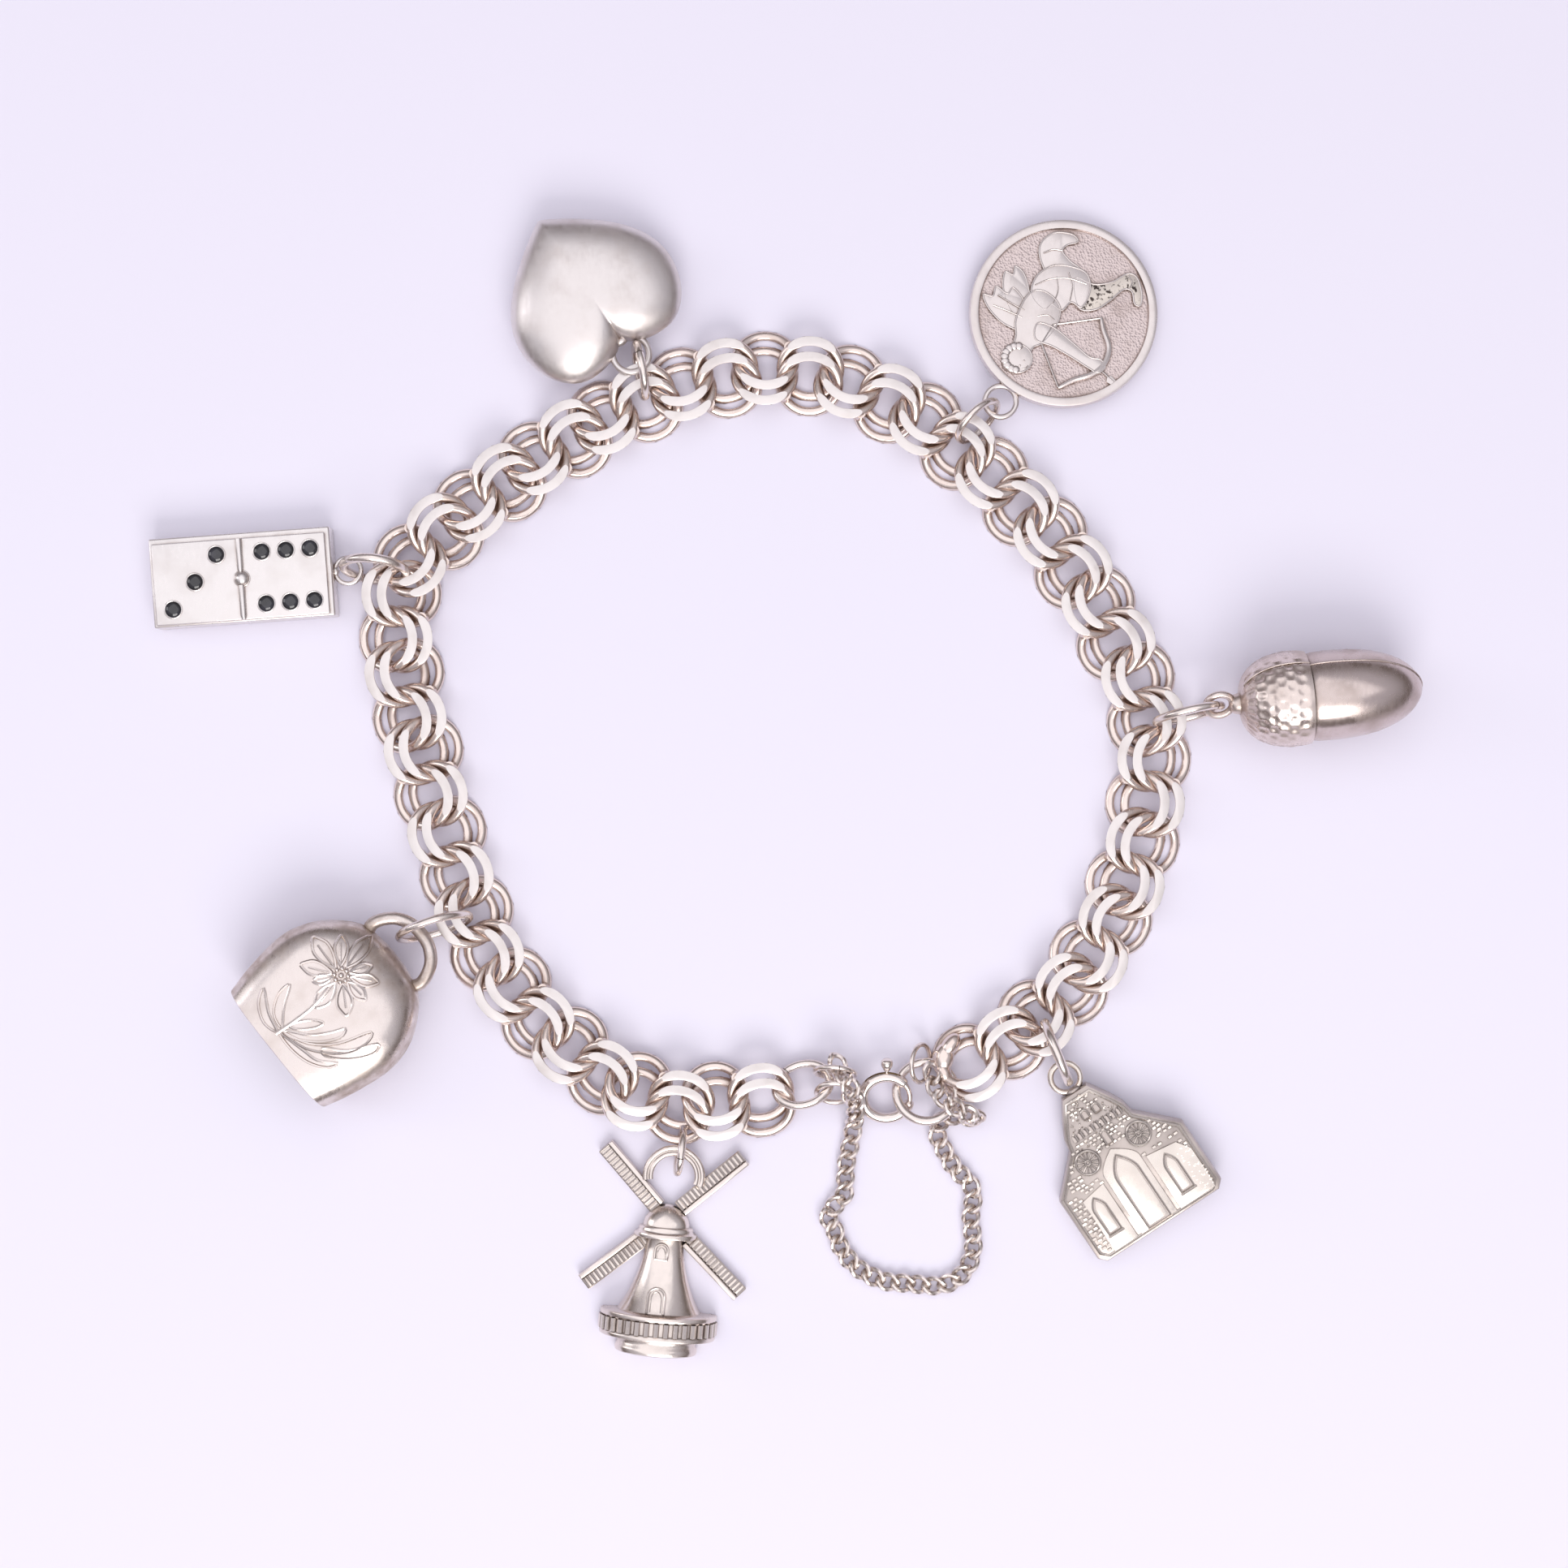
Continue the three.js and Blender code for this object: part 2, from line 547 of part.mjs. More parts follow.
function makeBell() {
  const shell = toSolid(bellLoft(0, 0)).subtract(toSolid(bellLoft(bell.wall, 1)));
  const handleCurve = new THREE.CatmullRomCurve3([
    [-3.2, 5.6], [-3.75, 6.8], [-3.1, 8.3], [-1.9, 9.15], [-0.6, 9.35],
    [0.7, 9.15], [1.9, 8.3], [2.55, 6.8], [2.0, 5.6],
  ].map(([side, up]) => new THREE.Vector3(side, up, bell.middleHeight)));
  return shell.add(toSolid(bentWire(handleCurve, 0.55, 0.55, 14)));
}

// A domino with a bar across its middle, a stud on the bar and a ring on one end.
const domino = { length: 15.0, width: 7.4, thickness: 2.8, x: -0.37, y: -0.35 };
const pips = [
  { x: -2.28, y: 1.65 }, { x: -4.2, y: -0.48 }, { x: -6.15, y: -2.62 },
  { x: 1.48, y: 1.63 }, { x: 3.47, y: 1.63 }, { x: 5.46, y: 1.63 },
  { x: 1.56, y: -2.67 }, { x: 3.55, y: -2.67 }, { x: 5.54, y: -2.67 },
];
const pipSize = { radius: 0.71, well: 0.2, dome: 0.22, gap: 0.05 };

function makeDomino() {
  const block = new THREE.BoxGeometry(domino.length, domino.width, domino.thickness);
  block.translate(domino.x, domino.y, domino.thickness / 2);
  const bar = new THREE.CylinderGeometry(0.28, 0.28, domino.width - 0.4, 6);
  bar.translate(-0.35, domino.y, domino.thickness);
  const stud = new THREE.SphereGeometry(0.65, 8, 6);
  stud.scale(1, 1, 0.7);
  stud.translate(-0.3, -0.48, domino.thickness + 0.15);
  const ring = ringAt(8.3, -0.35, domino.thickness / 2, 1.1, 0.22);
  const wells = pips.map((pip) => {
    const well = new THREE.CylinderGeometry(pipSize.radius + pipSize.gap, pipSize.radius + pipSize.gap, 1, 8);
    well.rotateX(Math.PI / 2);
    well.translate(pip.x, pip.y, domino.thickness - pipSize.well + 0.5);
    return toSolid(well);
  });
  return wells.reduce((whole, well) => whole.subtract(well), join([block, bar, stud, ring]));
}

function makePip(pip) {
  const bottom = domino.thickness - pipSize.well + pipSize.gap;
  const height = pipSize.well - pipSize.gap;
  const body = new THREE.LatheGeometry([
    [0, 0], [pipSize.radius, 0], [pipSize.radius, height],
    [pipSize.radius * 0.6, height + pipSize.dome * 0.8], [0, height + pipSize.dome],
  ].map(([radius, up]) => new THREE.Vector2(radius, up)), 8);
  body.rotateX(Math.PI / 2);
  body.translate(pip.x, pip.y, bottom);
  return body;
}

function charmGroup(name) {
  const place = charmPlaces[name];
  const group = new THREE.Group();
  group.position.set(place.x, place.y, 0);
  group.rotation.z = radians(place.turn);
  if (place.propped) {
    const { towards, degrees, reach } = place.propped;
    const axis = new THREE.Vector3(Math.sin(radians(towards)), -Math.cos(radians(towards)), 0);
    group.quaternion.premultiply(new THREE.Quaternion().setFromAxisAngle(axis, radians(degrees)));
    group.position.z = reach * Math.sin(radians(degrees));
  }
  return group;
}

function makeCharms(bracelet) {
  const makers = {
    heart: makeHeart, disc: makeDisc, acorn: makeAcorn, church: makeChurch,
    windmill: makeWindmill, bell: makeBell, domino: makeDomino,
  };
  for (const [name, make] of Object.entries(makers)) {
    const group = charmGroup(name);
    group.add(namedMesh(`charm_${name}`, toGeometry(make()), charmSilver));
    if (name === 'domino') {
      pips.forEach((pip, index) => group.add(namedMesh(`pip_${index + 1}`, makePip(pip), enamel)));
    }
    bracelet.add(group);
  }
}

// ---- The whole bracelet ----

// Puts the middle of the whole bracelet over the origin, with its lowest point on the table.
const centring = { x: 0.08, y: 0.21, z: 0.048 };

const bracelet = new THREE.Group();
bracelet.position.set(centring.x, centring.y, centring.z);
makeChain(bracelet);
makeClasp(bracelet);
makeEndRings(bracelet);
makeGuardChain(bracelet);
makeJumpRings(bracelet);
makeCharms(bracelet);

export default bracelet;
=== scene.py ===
import math
import random

import bmesh
import bpy
from mathutils import Matrix, Vector


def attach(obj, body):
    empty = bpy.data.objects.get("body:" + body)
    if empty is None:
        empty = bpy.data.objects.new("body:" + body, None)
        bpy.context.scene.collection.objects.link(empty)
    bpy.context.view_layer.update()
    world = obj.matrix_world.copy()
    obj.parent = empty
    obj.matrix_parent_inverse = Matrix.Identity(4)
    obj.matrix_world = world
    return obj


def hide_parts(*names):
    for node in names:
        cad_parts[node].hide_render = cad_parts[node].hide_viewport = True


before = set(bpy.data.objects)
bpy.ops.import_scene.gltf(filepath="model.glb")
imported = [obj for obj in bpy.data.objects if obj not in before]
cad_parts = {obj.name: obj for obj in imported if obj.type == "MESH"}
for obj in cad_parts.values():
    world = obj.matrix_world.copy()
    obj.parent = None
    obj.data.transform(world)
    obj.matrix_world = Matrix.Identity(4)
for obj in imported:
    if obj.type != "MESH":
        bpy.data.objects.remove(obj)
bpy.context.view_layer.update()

# ---- Camera ----
# It looks straight down from about a quarter of a metre above the middle of the bracelet.
camera_data = bpy.data.cameras.new("camera")
camera_data.lens = 66.5
camera_data.clip_start = 0.01
camera = bpy.data.objects.new("camera", camera_data)
camera.location = (0.00008, 0.00035, 0.242)
bpy.context.scene.collection.objects.link(camera)
bpy.context.scene.camera = camera
bpy.context.scene.view_settings.view_transform = "Standard"

# ---- Table and light ----
# A smooth lavender-white table top. Soft window light comes low from the clasp's side and a
# wide pale ceiling fills the rest, so that silver lying on it shows white and grey in turn.
ground = bmesh.new()
bmesh.ops.create_grid(ground, x_segments=1, y_segments=1, size=1.5)
floor_mesh = bpy.data.meshes.new("floor")
ground.to_mesh(floor_mesh)
ground.free()
floor = bpy.data.objects.new("floor", floor_mesh)
bpy.context.scene.collection.objects.link(floor)
floor_paint = bpy.data.materials.new("lavender_white_table")
floor_paint.use_nodes = True
floor_shader = floor_paint.node_tree.nodes["Principled BSDF"]
floor_shader.inputs["Base Color"].default_value = (0.85, 0.825, 0.945, 1)
floor_shader.inputs["Roughness"].default_value = 0.55
floor.data.materials.append(floor_paint)


def softbox(name, place, aim, size, watts, colour):
    data = bpy.data.lights.new(name, "AREA")
    data.shape = "RECTANGLE"
    data.size, data.size_y = size
    data.energy = watts
    data.color = colour
    lamp = bpy.data.objects.new(name, data)
    lamp.location = place
    lamp.rotation_euler = (Vector(aim) - Vector(place)).to_track_quat("-Z", "Y").to_euler()
    bpy.context.scene.collection.objects.link(lamp)


softbox("window", (0.06, -0.42, 0.40), (0, 0, 0), (0.42, 0.30), 1.6, (1.0, 0.97, 0.94))
softbox("ceiling", (-0.05, 0.05, 0.62), (0, 0, 0), (0.9, 0.9), 1.7, (1.0, 0.985, 0.985))
softbox("left_card", (-0.5, 0.1, 0.22), (0, 0, 0), (0.2, 0.3), 0.3, (0.98, 0.97, 1.0))


class Wire:
    """A socket in a material's node tree. Arithmetic on it adds Math nodes."""

    def __init__(self, tree, socket=None):
        self.tree = tree
        self.socket = socket

    def node(self, kind, settings=None, sockets=None, out=0):
        """Adds a node: first its settings, then the values or links of its sockets."""
        made = self.tree.nodes.new(kind)
        for name, value in (settings or {}).items():
            setattr(made, name, value)
        for name, value in (sockets or {}).items():
            if isinstance(value, Wire):
                self.tree.links.new(value.socket, made.inputs[name])
            else:
                made.inputs[name].default_value = value
        return Wire(self.tree, made.outputs[out])

    def maths(self, operation, *values):
        return self.node("ShaderNodeMath", {"operation": operation}, dict(enumerate(values)))

    def __add__(self, other):
        return self.maths("ADD", self, other)

    def __radd__(self, other):
        return self.maths("ADD", other, self)

    def __sub__(self, other):
        return self.maths("SUBTRACT", self, other)

    def __rsub__(self, other):
        return self.maths("SUBTRACT", other, self)

    def __mul__(self, other):
        return self.maths("MULTIPLY", self, other)

    def __rmul__(self, other):
        return self.maths("MULTIPLY", other, self)

    def between(self, low, high):
        """0 below low, 1 above high, and a smooth step from one to the other."""
        return self.node("ShaderNodeMapRange", {"interpolation_type": "SMOOTHSTEP"},
                         {"Value": self, "From Min": low, "From Max": high})

    def tint(self, plain, tinted):
        """The plain colour where this is 0 and the tinted one where it is 1."""
        colours = [c if isinstance(c, Wire) else (*c, 1) for c in (plain, tinted)]
        return self.node("ShaderNodeMix", {"data_type": "RGBA"},
                         {0: self, 6: colours[0], 7: colours[1]}, out=2)


# The room is dim and brownish near the horizon and pale overhead, which edges the wire in brown.
room = bpy.data.worlds.new("room")
room.use_nodes = True
bpy.context.scene.world = room
start = Wire(room.node_tree)
way_out = start.node("ShaderNodeTexCoord", out="Generated")
upward = start.node("ShaderNodeSeparateXYZ", {}, {0: way_out}, out="Z")
sky = upward.between(0.12, 0.72).tint((0.17, 0.14, 0.13), (0.56, 0.54, 0.59))
room.node_tree.links.new(sky.socket, room.node_tree.nodes["Background"].inputs["Color"])

# ---- Main chain ----
# Twenty-six double curb links. Each is two pairs of round silver wire rings leaning against
# each other, joined by two solder nubs, then ground flat and polished above and below.


def new_finish(name, **constants):
    """A material, a Wire that starts its node expressions, and a way to link into its shader."""
    material = bpy.data.materials.new(name)
    material.use_nodes = True
    tree = material.node_tree
    shader = tree.nodes["Principled BSDF"]
    for socket, value in constants.items():
        shader.inputs[socket.replace("_", " ")].default_value = value

    def link(socket, wire):
        tree.links.new(wire.socket, shader.inputs[socket])

    return material, Wire(tree), link


def silver(name, clean=(0.83, 0.755, 0.71), tarnish=(0.36, 0.26, 0.205), crevice=0.8, gain=1.5,
           rough=0.24, blotch=0.25, scratch=0.35, relief=None, grime=None):
    """Worn silver: clean on what is rubbed, brown in what isn't, with fine scratches all over.
    relief adds a height for a punched texture, and grime more brown in some places."""
    material, start, link = new_finish(name, Metallic=1.0)
    place = start.node("ShaderNodeTexCoord", out="Object")
    hidden = 1 - start.node("ShaderNodeAmbientOcclusion", {"samples": 5, "only_local": True},
                            {"Distance": crevice * 0.001}, out="AO")
    cloud = start.node("ShaderNodeTexNoise", {}, {"Vector": place, "Scale": 420, "Detail": 5})
    fine = start.node("ShaderNodeTexNoise", {}, {"Vector": place, "Scale": 2600, "Detail": 3})
    stretched = start.node("ShaderNodeMapping", {}, {
        "Vector": place, "Rotation": (0.2, 0.1, 0.7), "Scale": (2700, 900, 900)})
    scored = start.node("ShaderNodeTexNoise", {}, {"Vector": stretched, "Scale": 1.6, "Detail": 4})
    crossed = start.node("ShaderNodeMapping", {}, {
        "Vector": place, "Rotation": (0.1, 0.3, -0.5), "Scale": (500, 7000, 1500)})
    crossing = start.node("ShaderNodeTexNoise", {}, {"Vector": crossed, "Scale": 1.3, "Detail": 3})
    dirt = hidden * gain + (cloud - 0.5) * 0.5
    soot = (dirt + grime(start, place) if grime else dirt).between(0.12, 0.95)
    haze = cloud.between(0.42, 0.78) * blotch
    stained = haze.tint(clean, tuple(0.62 * c + 0.38 * t for c, t in zip(clean, tarnish)))
    link("Base Color", soot.tint(stained, tarnish))
    height = (scored * 0.5 + crossing * 0.5 + fine * 0.35) * 0.004 * scratch
    if relief:
        height = height + relief(start, place)
    link("Roughness", soot * 0.3 + haze * 0.25 + (scored - 0.5) * 0.22 + (fine - 0.5) * 0.12 + rough)
    link("Normal", start.node("ShaderNodeBump", {}, {"Height": height, "Distance": 0.001}))
    return material


chain_wire_silver = silver("chain_wire_silver", clean=(0.84, 0.73, 0.67),
                           tarnish=(0.40, 0.27, 0.21), rough=0.2, blotch=0.6, crevice=0.9, gain=1.9)
chain_flat_silver = silver("chain_flat_silver", clean=(0.78, 0.735, 0.715), rough=0.34, blotch=0.4,
                           crevice=0.5, gain=0.8, scratch=1.0)

MM = Matrix.Scale(0.001, 4)
shift = Matrix.Translation
table_shift = shift((0.08, 0.21, 0.048))

chain_route = [(14.9, -23.7, 0), (22.1, -18.6, 0), (27.2, -11.4, 0), (30.0, -2.9, 0),
               (30.3, 5.7, 0), (26.8, 13.7, 0), (22.0, 20.9, 0), (15.9, 26.9, 0), (8.8, 32.0, 0),
               (0.2, 34.5, 0), (-8.7, 33.1, 0), (-16.8, 29.4, 0), (-24.1, 24.5, 0.3),
               (-31.2, 18.0, 0.6), (-31.9, 10.6, 0.2), (-29.9, 1.9, 0), (-27.3, -6.7, 0),
               (-24.0, -14.9, 0), (-18.1, -21.6, 0.2), (-10.5, -26.2, 0.75), (-1.8, -25.9, 0.3),
               (2.0, -24.6, 0)]
link_runs = [(1, 0.8), (4, 21.1), (9, 56.0), (14, 91.2), (20, 131.1), (24, 159.2), (26, 172.8)]
link_half = 1.885
link_height = 2.12


def tilt(degrees, axis):
    return Matrix.Rotation(math.radians(degrees), 4, axis)


def smooth_line(points, count):
    """Evenly spaced points on a smooth curve through the given ones, and its length."""
    knots = [Vector(p) for p in points]
    knots = [2 * knots[0] - knots[1], *knots, 2 * knots[-1] - knots[-2]]
    dense = []
    for a, b, c, d in zip(knots, knots[1:], knots[2:], knots[3:]):
        for step in range(80):
            t = step / 80
            dense.append(0.5 * (2 * b + (c - a) * t + (2 * a - 5 * b + 4 * c - d) * t ** 2
                                + (3 * b - a - 3 * c + d) * t ** 3))
    dense.append(knots[-2])
    runs = [0.0]
    for last, this in zip(dense, dense[1:]):
        runs.append(runs[-1] + (this - last).length)
    line, at = [], 0
    for index in range(count):
        run = runs[-1] * index / (count - 1)
        while at < len(runs) - 2 and runs[at + 1] < run:
            at += 1
        share = (run - runs[at]) / (runs[at + 1] - runs[at])
        line.append(dense[at].lerp(dense[at + 1], share))
    return line, runs[-1]


def finished(name, solid, place, finishes, nodes, body="bracelet", crease=32):
    """Turns a bmesh in millimetres into a piece of the bracelet at its place."""
    bmesh.ops.recalc_face_normals(solid, faces=solid.faces)
    solid.transform(MM @ table_shift @ place)
    mesh = bpy.data.meshes.new(name)
    solid.to_mesh(mesh)
    solid.free()
    for finish in finishes:
        mesh.materials.append(finish)
    mesh.shade_smooth()
    mesh.set_sharp_from_angle(angle=math.radians(crease))
    piece = bpy.data.objects.new(name, mesh)
    bpy.context.scene.collection.objects.link(piece)
    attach(piece, body)
    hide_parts(*nodes)


def painted(solid, before, material):
    """The vertices that weren't there before, after giving their faces a material."""
    made = [v for v in solid.verts if v not in before]
    for face in {f for v in made for f in v.link_faces}:
        face.material_index = material
    return made


def spun(solid, shape, axis, steps, opening=0, material=0):
    """Spins a shape round an axis, closes the seam and returns all the vertices."""
    before = set(solid.verts) - set(shape)
    bmesh.ops.spin(solid, geom=shape, cent=(0, 0, 0), axis=axis, angle=math.radians(360 - opening),
                   steps=steps, use_merge=opening == 0)
    bmesh.ops.remove_doubles(solid, verts=[v for v in solid.verts if v not in before], dist=1e-4)
    return painted(solid, before, material)


def add_ring(solid, radius, wide, thick, place, steps=48, sides=14, opening=0):
    """A ring of wire round Z, with its two ends a few degrees apart if it has an opening."""
    section = bmesh.ops.create_circle(
        solid, segments=sides, radius=1.0, cap_ends=opening > 0,
        matrix=shift((radius, 0, 0)) @ Matrix.Rotation(math.pi / 2, 4, "X")
        @ Matrix.Diagonal((wide, thick, 1, 1)))["verts"]
    edges = list({e for v in section for e in v.link_edges})
    faces = list({f for v in section for f in v.link_faces})
    bmesh.ops.transform(solid, matrix=place,
                        verts=spun(solid, section + edges + faces, (0, 0, 1), steps, opening))


def grind(solid, height, facing):
    """Cuts everything beyond a level plane away and closes the cut with a crisp edge."""
    cut = bmesh.ops.bisect_plane(
        solid, geom=solid.verts[:] + solid.edges[:] + solid.faces[:], dist=1e-5,
        plane_co=(0, 0, height), plane_no=(0, 0, facing), clear_outer=True)["geom_cut"]
    rims = [g for g in cut if isinstance(g, bmesh.types.BMEdge)]
    made = bmesh.ops.holes_fill(solid, edges=rims, sides=0)["faces"]
    for face in made:
        face.material_index = 1
    bmesh.ops.bevel(solid, geom=rims, offset=0.035, segments=2, affect="EDGES", profile=0.5,
                    material=-1)


link_solid = bmesh.new()
for direction in (1, -1):
    for sideways in (0.875, -0.4):
        add_ring(link_solid, 1.0, 0.175, 0.138,
                 shift((-direction * link_half, direction * sideways, 0))
                 @ tilt(-27 * direction, "X")
                 @ Matrix.Diagonal((2.42, 2.46, 2.46, 1)), steps=56, sides=14)
    bmesh.ops.create_cone(link_solid, cap_ends=True, segments=16, radius1=0.5, radius2=0.4,
                          depth=1.75, matrix=shift((0, direction * 2.02, 0.05)))
grind(link_solid, link_height / 2, 1)
grind(link_solid, -link_height / 2, -1)
link_mesh = bpy.data.meshes.new("curb_link")
link_solid.to_mesh(link_mesh)
link_solid.free()

chain_line, chain_length = smooth_line([(x, y, z + link_height / 2) for x, y, z in chain_route], 2400)


def on_chain(run):
    return chain_line[round(run / chain_length * (len(chain_line) - 1))]


def link_place(number):
    """The place of one link: X along the chain, Y towards the middle of the loop."""
    for (first, start), (last, end) in zip(link_runs, link_runs[1:]):
        if first <= number <= last:
            run = start + (end - start) * (number - first) / (last - first)
    front, back = on_chain(run), on_chain(run + 2 * link_half)
    along = (back - front).normalized()
    inward = Vector((0, 0, 1)).cross(along).normalized()
    turned = Matrix((along, inward, along.cross(inward))).transposed().to_4x4()
    return shift((front + back) / 2) @ turned


for number in range(1, 27):
    solid = bmesh.new()
    solid.from_mesh(link_mesh)
    if number == 1:
        for along, side, turn, long, wide in ((-4.15, 0.7, 78, 1.0, 0.62), (-3.5, 1.75, 50, 1.25, 0.85),
                                              (-2.5, 2.35, 22, 1.15, 0.68)):
            bmesh.ops.create_icosphere(
                solid, subdivisions=4, radius=1, matrix=shift((along, side, 0.1))
                @ tilt(turn, "Z") @ Matrix.Diagonal((long, wide, 0.72, 1)))
    finished(f"curb_link_{number:02d}", solid, link_place(number),
             [chain_wire_silver, chain_flat_silver], [f"link_{number:02d}"])

# ---- Jump rings ----
# Short lengths of round silver wire bent into rings. Each is closed edge to edge and not
# soldered, so a dark hair of a seam shows where its two ends meet.
jump_ring_silver = silver("jump_ring_silver", rough=0.22, blotch=0.3, crevice=0.6, gain=1.2)


def ring_place(node):
    """Middle, facing direction and size of a ring, from the solid it stands for."""
    points = [v.co * 1000 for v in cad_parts[node].data.vertices]
    centre = sum(points, Vector()) / len(points)
    spokes = [p - centre for p in points]
    facing = max((a.cross(b) for a, b in zip(spokes, spokes[len(spokes) // 4:])),
                 key=lambda n: n.length).normalized()
    for _ in range(6):
        off = sum((s * s.dot(facing) for s in spokes), Vector()) / len(spokes)
        flat = sum((s * s.length_squared for s in spokes), Vector())
        facing = (facing - off / sum(s.length_squared for s in spokes) * len(spokes)).normalized()
    reach = max(s.length for s in spokes)
    thick = max(abs(s.dot(facing)) for s in spokes)
    turned = facing.to_track_quat("Z", "Y").to_matrix().to_4x4()
    return shift(centre) @ turned, reach, thick


def jump_ring(name, node, wire, seam, steps, sides, opening):
    """A closed ring of wire in its solid's place, its seam turned by some degrees."""
    place, reach, thick = ring_place(node)
    solid = bmesh.new()
    add_ring(solid, reach - thick, wire, wire, tilt(seam, "Z"),
             steps, sides, opening)
    finished(name, solid, table_shift.inverted() @ place, [jump_ring_silver], [node])


for node, wire, seam in (("ring_heart", 0.35, 60), ("ring_disc", 0.3, 200), ("ring_acorn", 0.34, 140),
                         ("ring_church", 0.39, 250), ("ring_windmill", 0.31, 80),
                         ("ring_bell", 0.33, 30), ("ring_domino", 0.39, 300)):
    jump_ring("jump_" + node, node, wire, seam, 60, 16, 2.2)

# ---- Rings at the end of the chain ----
# An oval end link of heavy wire joins the last curb link to the clasp. Two light jump rings
# hang on it: one lies through the clasp's eyelet, the other stands and holds the guard chain.
end_solid = bmesh.new()
add_ring(end_solid, 1.0, 0.19, 0.19,
         shift((1.58, -24.82, 1.43)) @ tilt(18, "Z")
         @ tilt(-26, "X") @ Matrix.Diagonal((2.28, 1.78, 2.2, 1))
         @ tilt(118, "Z"), steps=64, sides=18, opening=2)
finished("oval_end_link", end_solid, Matrix(), [jump_ring_silver], ["end_link"])
for node, wire, seam in (("end_ring_flat", 0.23, 20), ("end_ring_upright", 0.22, 100),
                         ("guard_ring", 0.2, 200)):
    jump_ring("light_" + node, node, wire, seam, 48, 14, 2.5)

# ---- Clasp ----
# A bolt ring: a ring of silver tube. Its bolt is a wire that a spring pushes round in the tube
# and a little knob, standing out of a slot, pulls back. A soldered eyelet ties it
# to the end rings, and a heavy jump ring on the chain's first link is what it hooks into.
clasp_silver = silver("clasp_silver", rough=0.16, blotch=0.2, crevice=0.6, gain=1.1, scratch=0.25)
# The slot's colour is painted shade: a dark brown, mottled by noise, for the shade down in the knob's
# slot.
slot_shadow, start, link = new_finish("slot_shadow", Metallic=1.0, Roughness=0.6)
place = start.node("ShaderNodeTexCoord", out="Object")
slot_shade_mottle = start.node("ShaderNodeTexNoise", {}, {"Vector": place, "Scale": 900})
link("Base Color", slot_shade_mottle.between(0.4, 0.7).tint((0.10, 0.06, 0.03), (0.30, 0.20, 0.10)))
clasp_place = shift((8.5, -25.9, 1.4)) @ tilt(23, "X")


def grow_edges(solid, edges, matrix):
    """Extrudes a loop of edges and moves the new loop. Returns its edges."""
    grown = bmesh.ops.extrude_edge_only(solid, edges=edges)["geom"]
    verts = [g for g in grown if isinstance(g, bmesh.types.BMVert)]
    fresh = set(verts)
    bmesh.ops.transform(solid, matrix=matrix, verts=verts)
    return [g for g in grown if isinstance(g, bmesh.types.BMEdge) and set(g.verts) <= fresh]


def add_wire(solid, path, radius, sides=12, closed=False, flat=1.0, material=0):
    """Round wire along a path. radius may be a list, one for each point; flat squashes it."""
    path = [Vector(p) for p in path]
    radii = radius if isinstance(radius, (list, tuple)) else [radius] * len(path)
    before = set(solid.verts)
    side = None
    places = []
    for index, point in enumerate(path):
        last = path[index - 1] if closed or index else point
        following = path[(index + 1) % len(path)] if closed or index + 1 < len(path) else point
        way = (following - last).normalized()
        if side is None:
            side = way.cross(Vector((0, 0, 1)))
            if side.length < 0.1:
                side = way.cross(Vector((0, 1, 0)))
        side = (side - way * side.dot(way)).normalized()
        turned = Matrix((side, way.cross(side), way)).transposed().to_4x4()
        places.append(shift(point) @ turned
                      @ Matrix.Diagonal((radii[index], radii[index] * flat, radii[index], 1)))
    ring = bmesh.ops.create_circle(solid, segments=sides, radius=1, cap_ends=not closed,
                                   matrix=places[0])["verts"]
    first = edges = list({e for v in ring for e in v.link_edges})
    for last, this in zip(places, places[1:]):
        edges = grow_edges(solid, edges, this @ last.inverted())
    if closed:
        bmesh.ops.bridge_loops(solid, edges=first + edges)
    else:
        bmesh.ops.edgeloop_fill(solid, edges=edges)
    painted(solid, before, material)


def arc(radius, start_at, end_at, count, height=0.0, centre=(0, 0)):
    """Points on an arc, in degrees, round the given centre."""
    turns = [math.radians(start_at + (end_at - start_at) * i / (count - 1)) for i in range(count)]
    return [(centre[0] + radius * math.cos(t), centre[1] + radius * math.sin(t), height) for t in turns]


def add_ball(solid, centre, size, material=0, detail=3):
    """A ball or a pebble: size is one radius, or three."""
    sizes = size if isinstance(size, tuple) else (size, size, size)
    ball = bmesh.ops.create_icosphere(solid, subdivisions=detail, radius=1,
                                      matrix=shift(centre) @ Matrix.Diagonal((*sizes, 1)))
    for face in {f for v in ball["verts"] for f in v.link_faces}:
        face.material_index = material


solid = bmesh.new()
add_wire(solid, arc(1.95, 41, 348, 60), [0.4] + [0.45] * 58 + [0.4], sides=20)
# The slot is not cut into the tube. This thin dark wire in the slot_shadow finish is painted shade where
# the slot would be.
add_wire(solid, arc(2.36, 60, 139, 24, 0.08), [0.05] + [0.085] * 22 + [0.05], sides=8, material=1)
add_ring(solid, 0.66, 0.19, 0.19, shift((-2.95, 0.15, 0)), steps=32, sides=12)
add_ball(solid, (-2.36, 0.08, 0), (0.24, 0.34, 0.3))
finished("bolt_ring", solid, clasp_place, [clasp_silver, slot_shadow], ["clasp_ring"])

solid = bmesh.new()
add_wire(solid, arc(1.95, -22, 100, 26), [0.12] + [0.23] * 24 + [0.18], sides=14)
add_wire(solid, [(0, 1.95, 0), (0, 2.75, 0.05)], [0.16, 0.18], sides=12)
profile = ((0.26, 2.62), (0.32, 2.72), (0.33, 2.84), (0.43, 2.93), (0.48, 3.06), (0.49, 3.3),
           (0.46, 3.46), (0.37, 3.57), (0.18, 3.62))
add_wire(solid, [(0, along, 0.05) for wide, along in profile], [wide for wide, along in profile], sides=20)
finished("bolt_and_knob", solid, clasp_place, [clasp_silver], ["clasp_gate"],
         body="clasp_gate", crease=50)

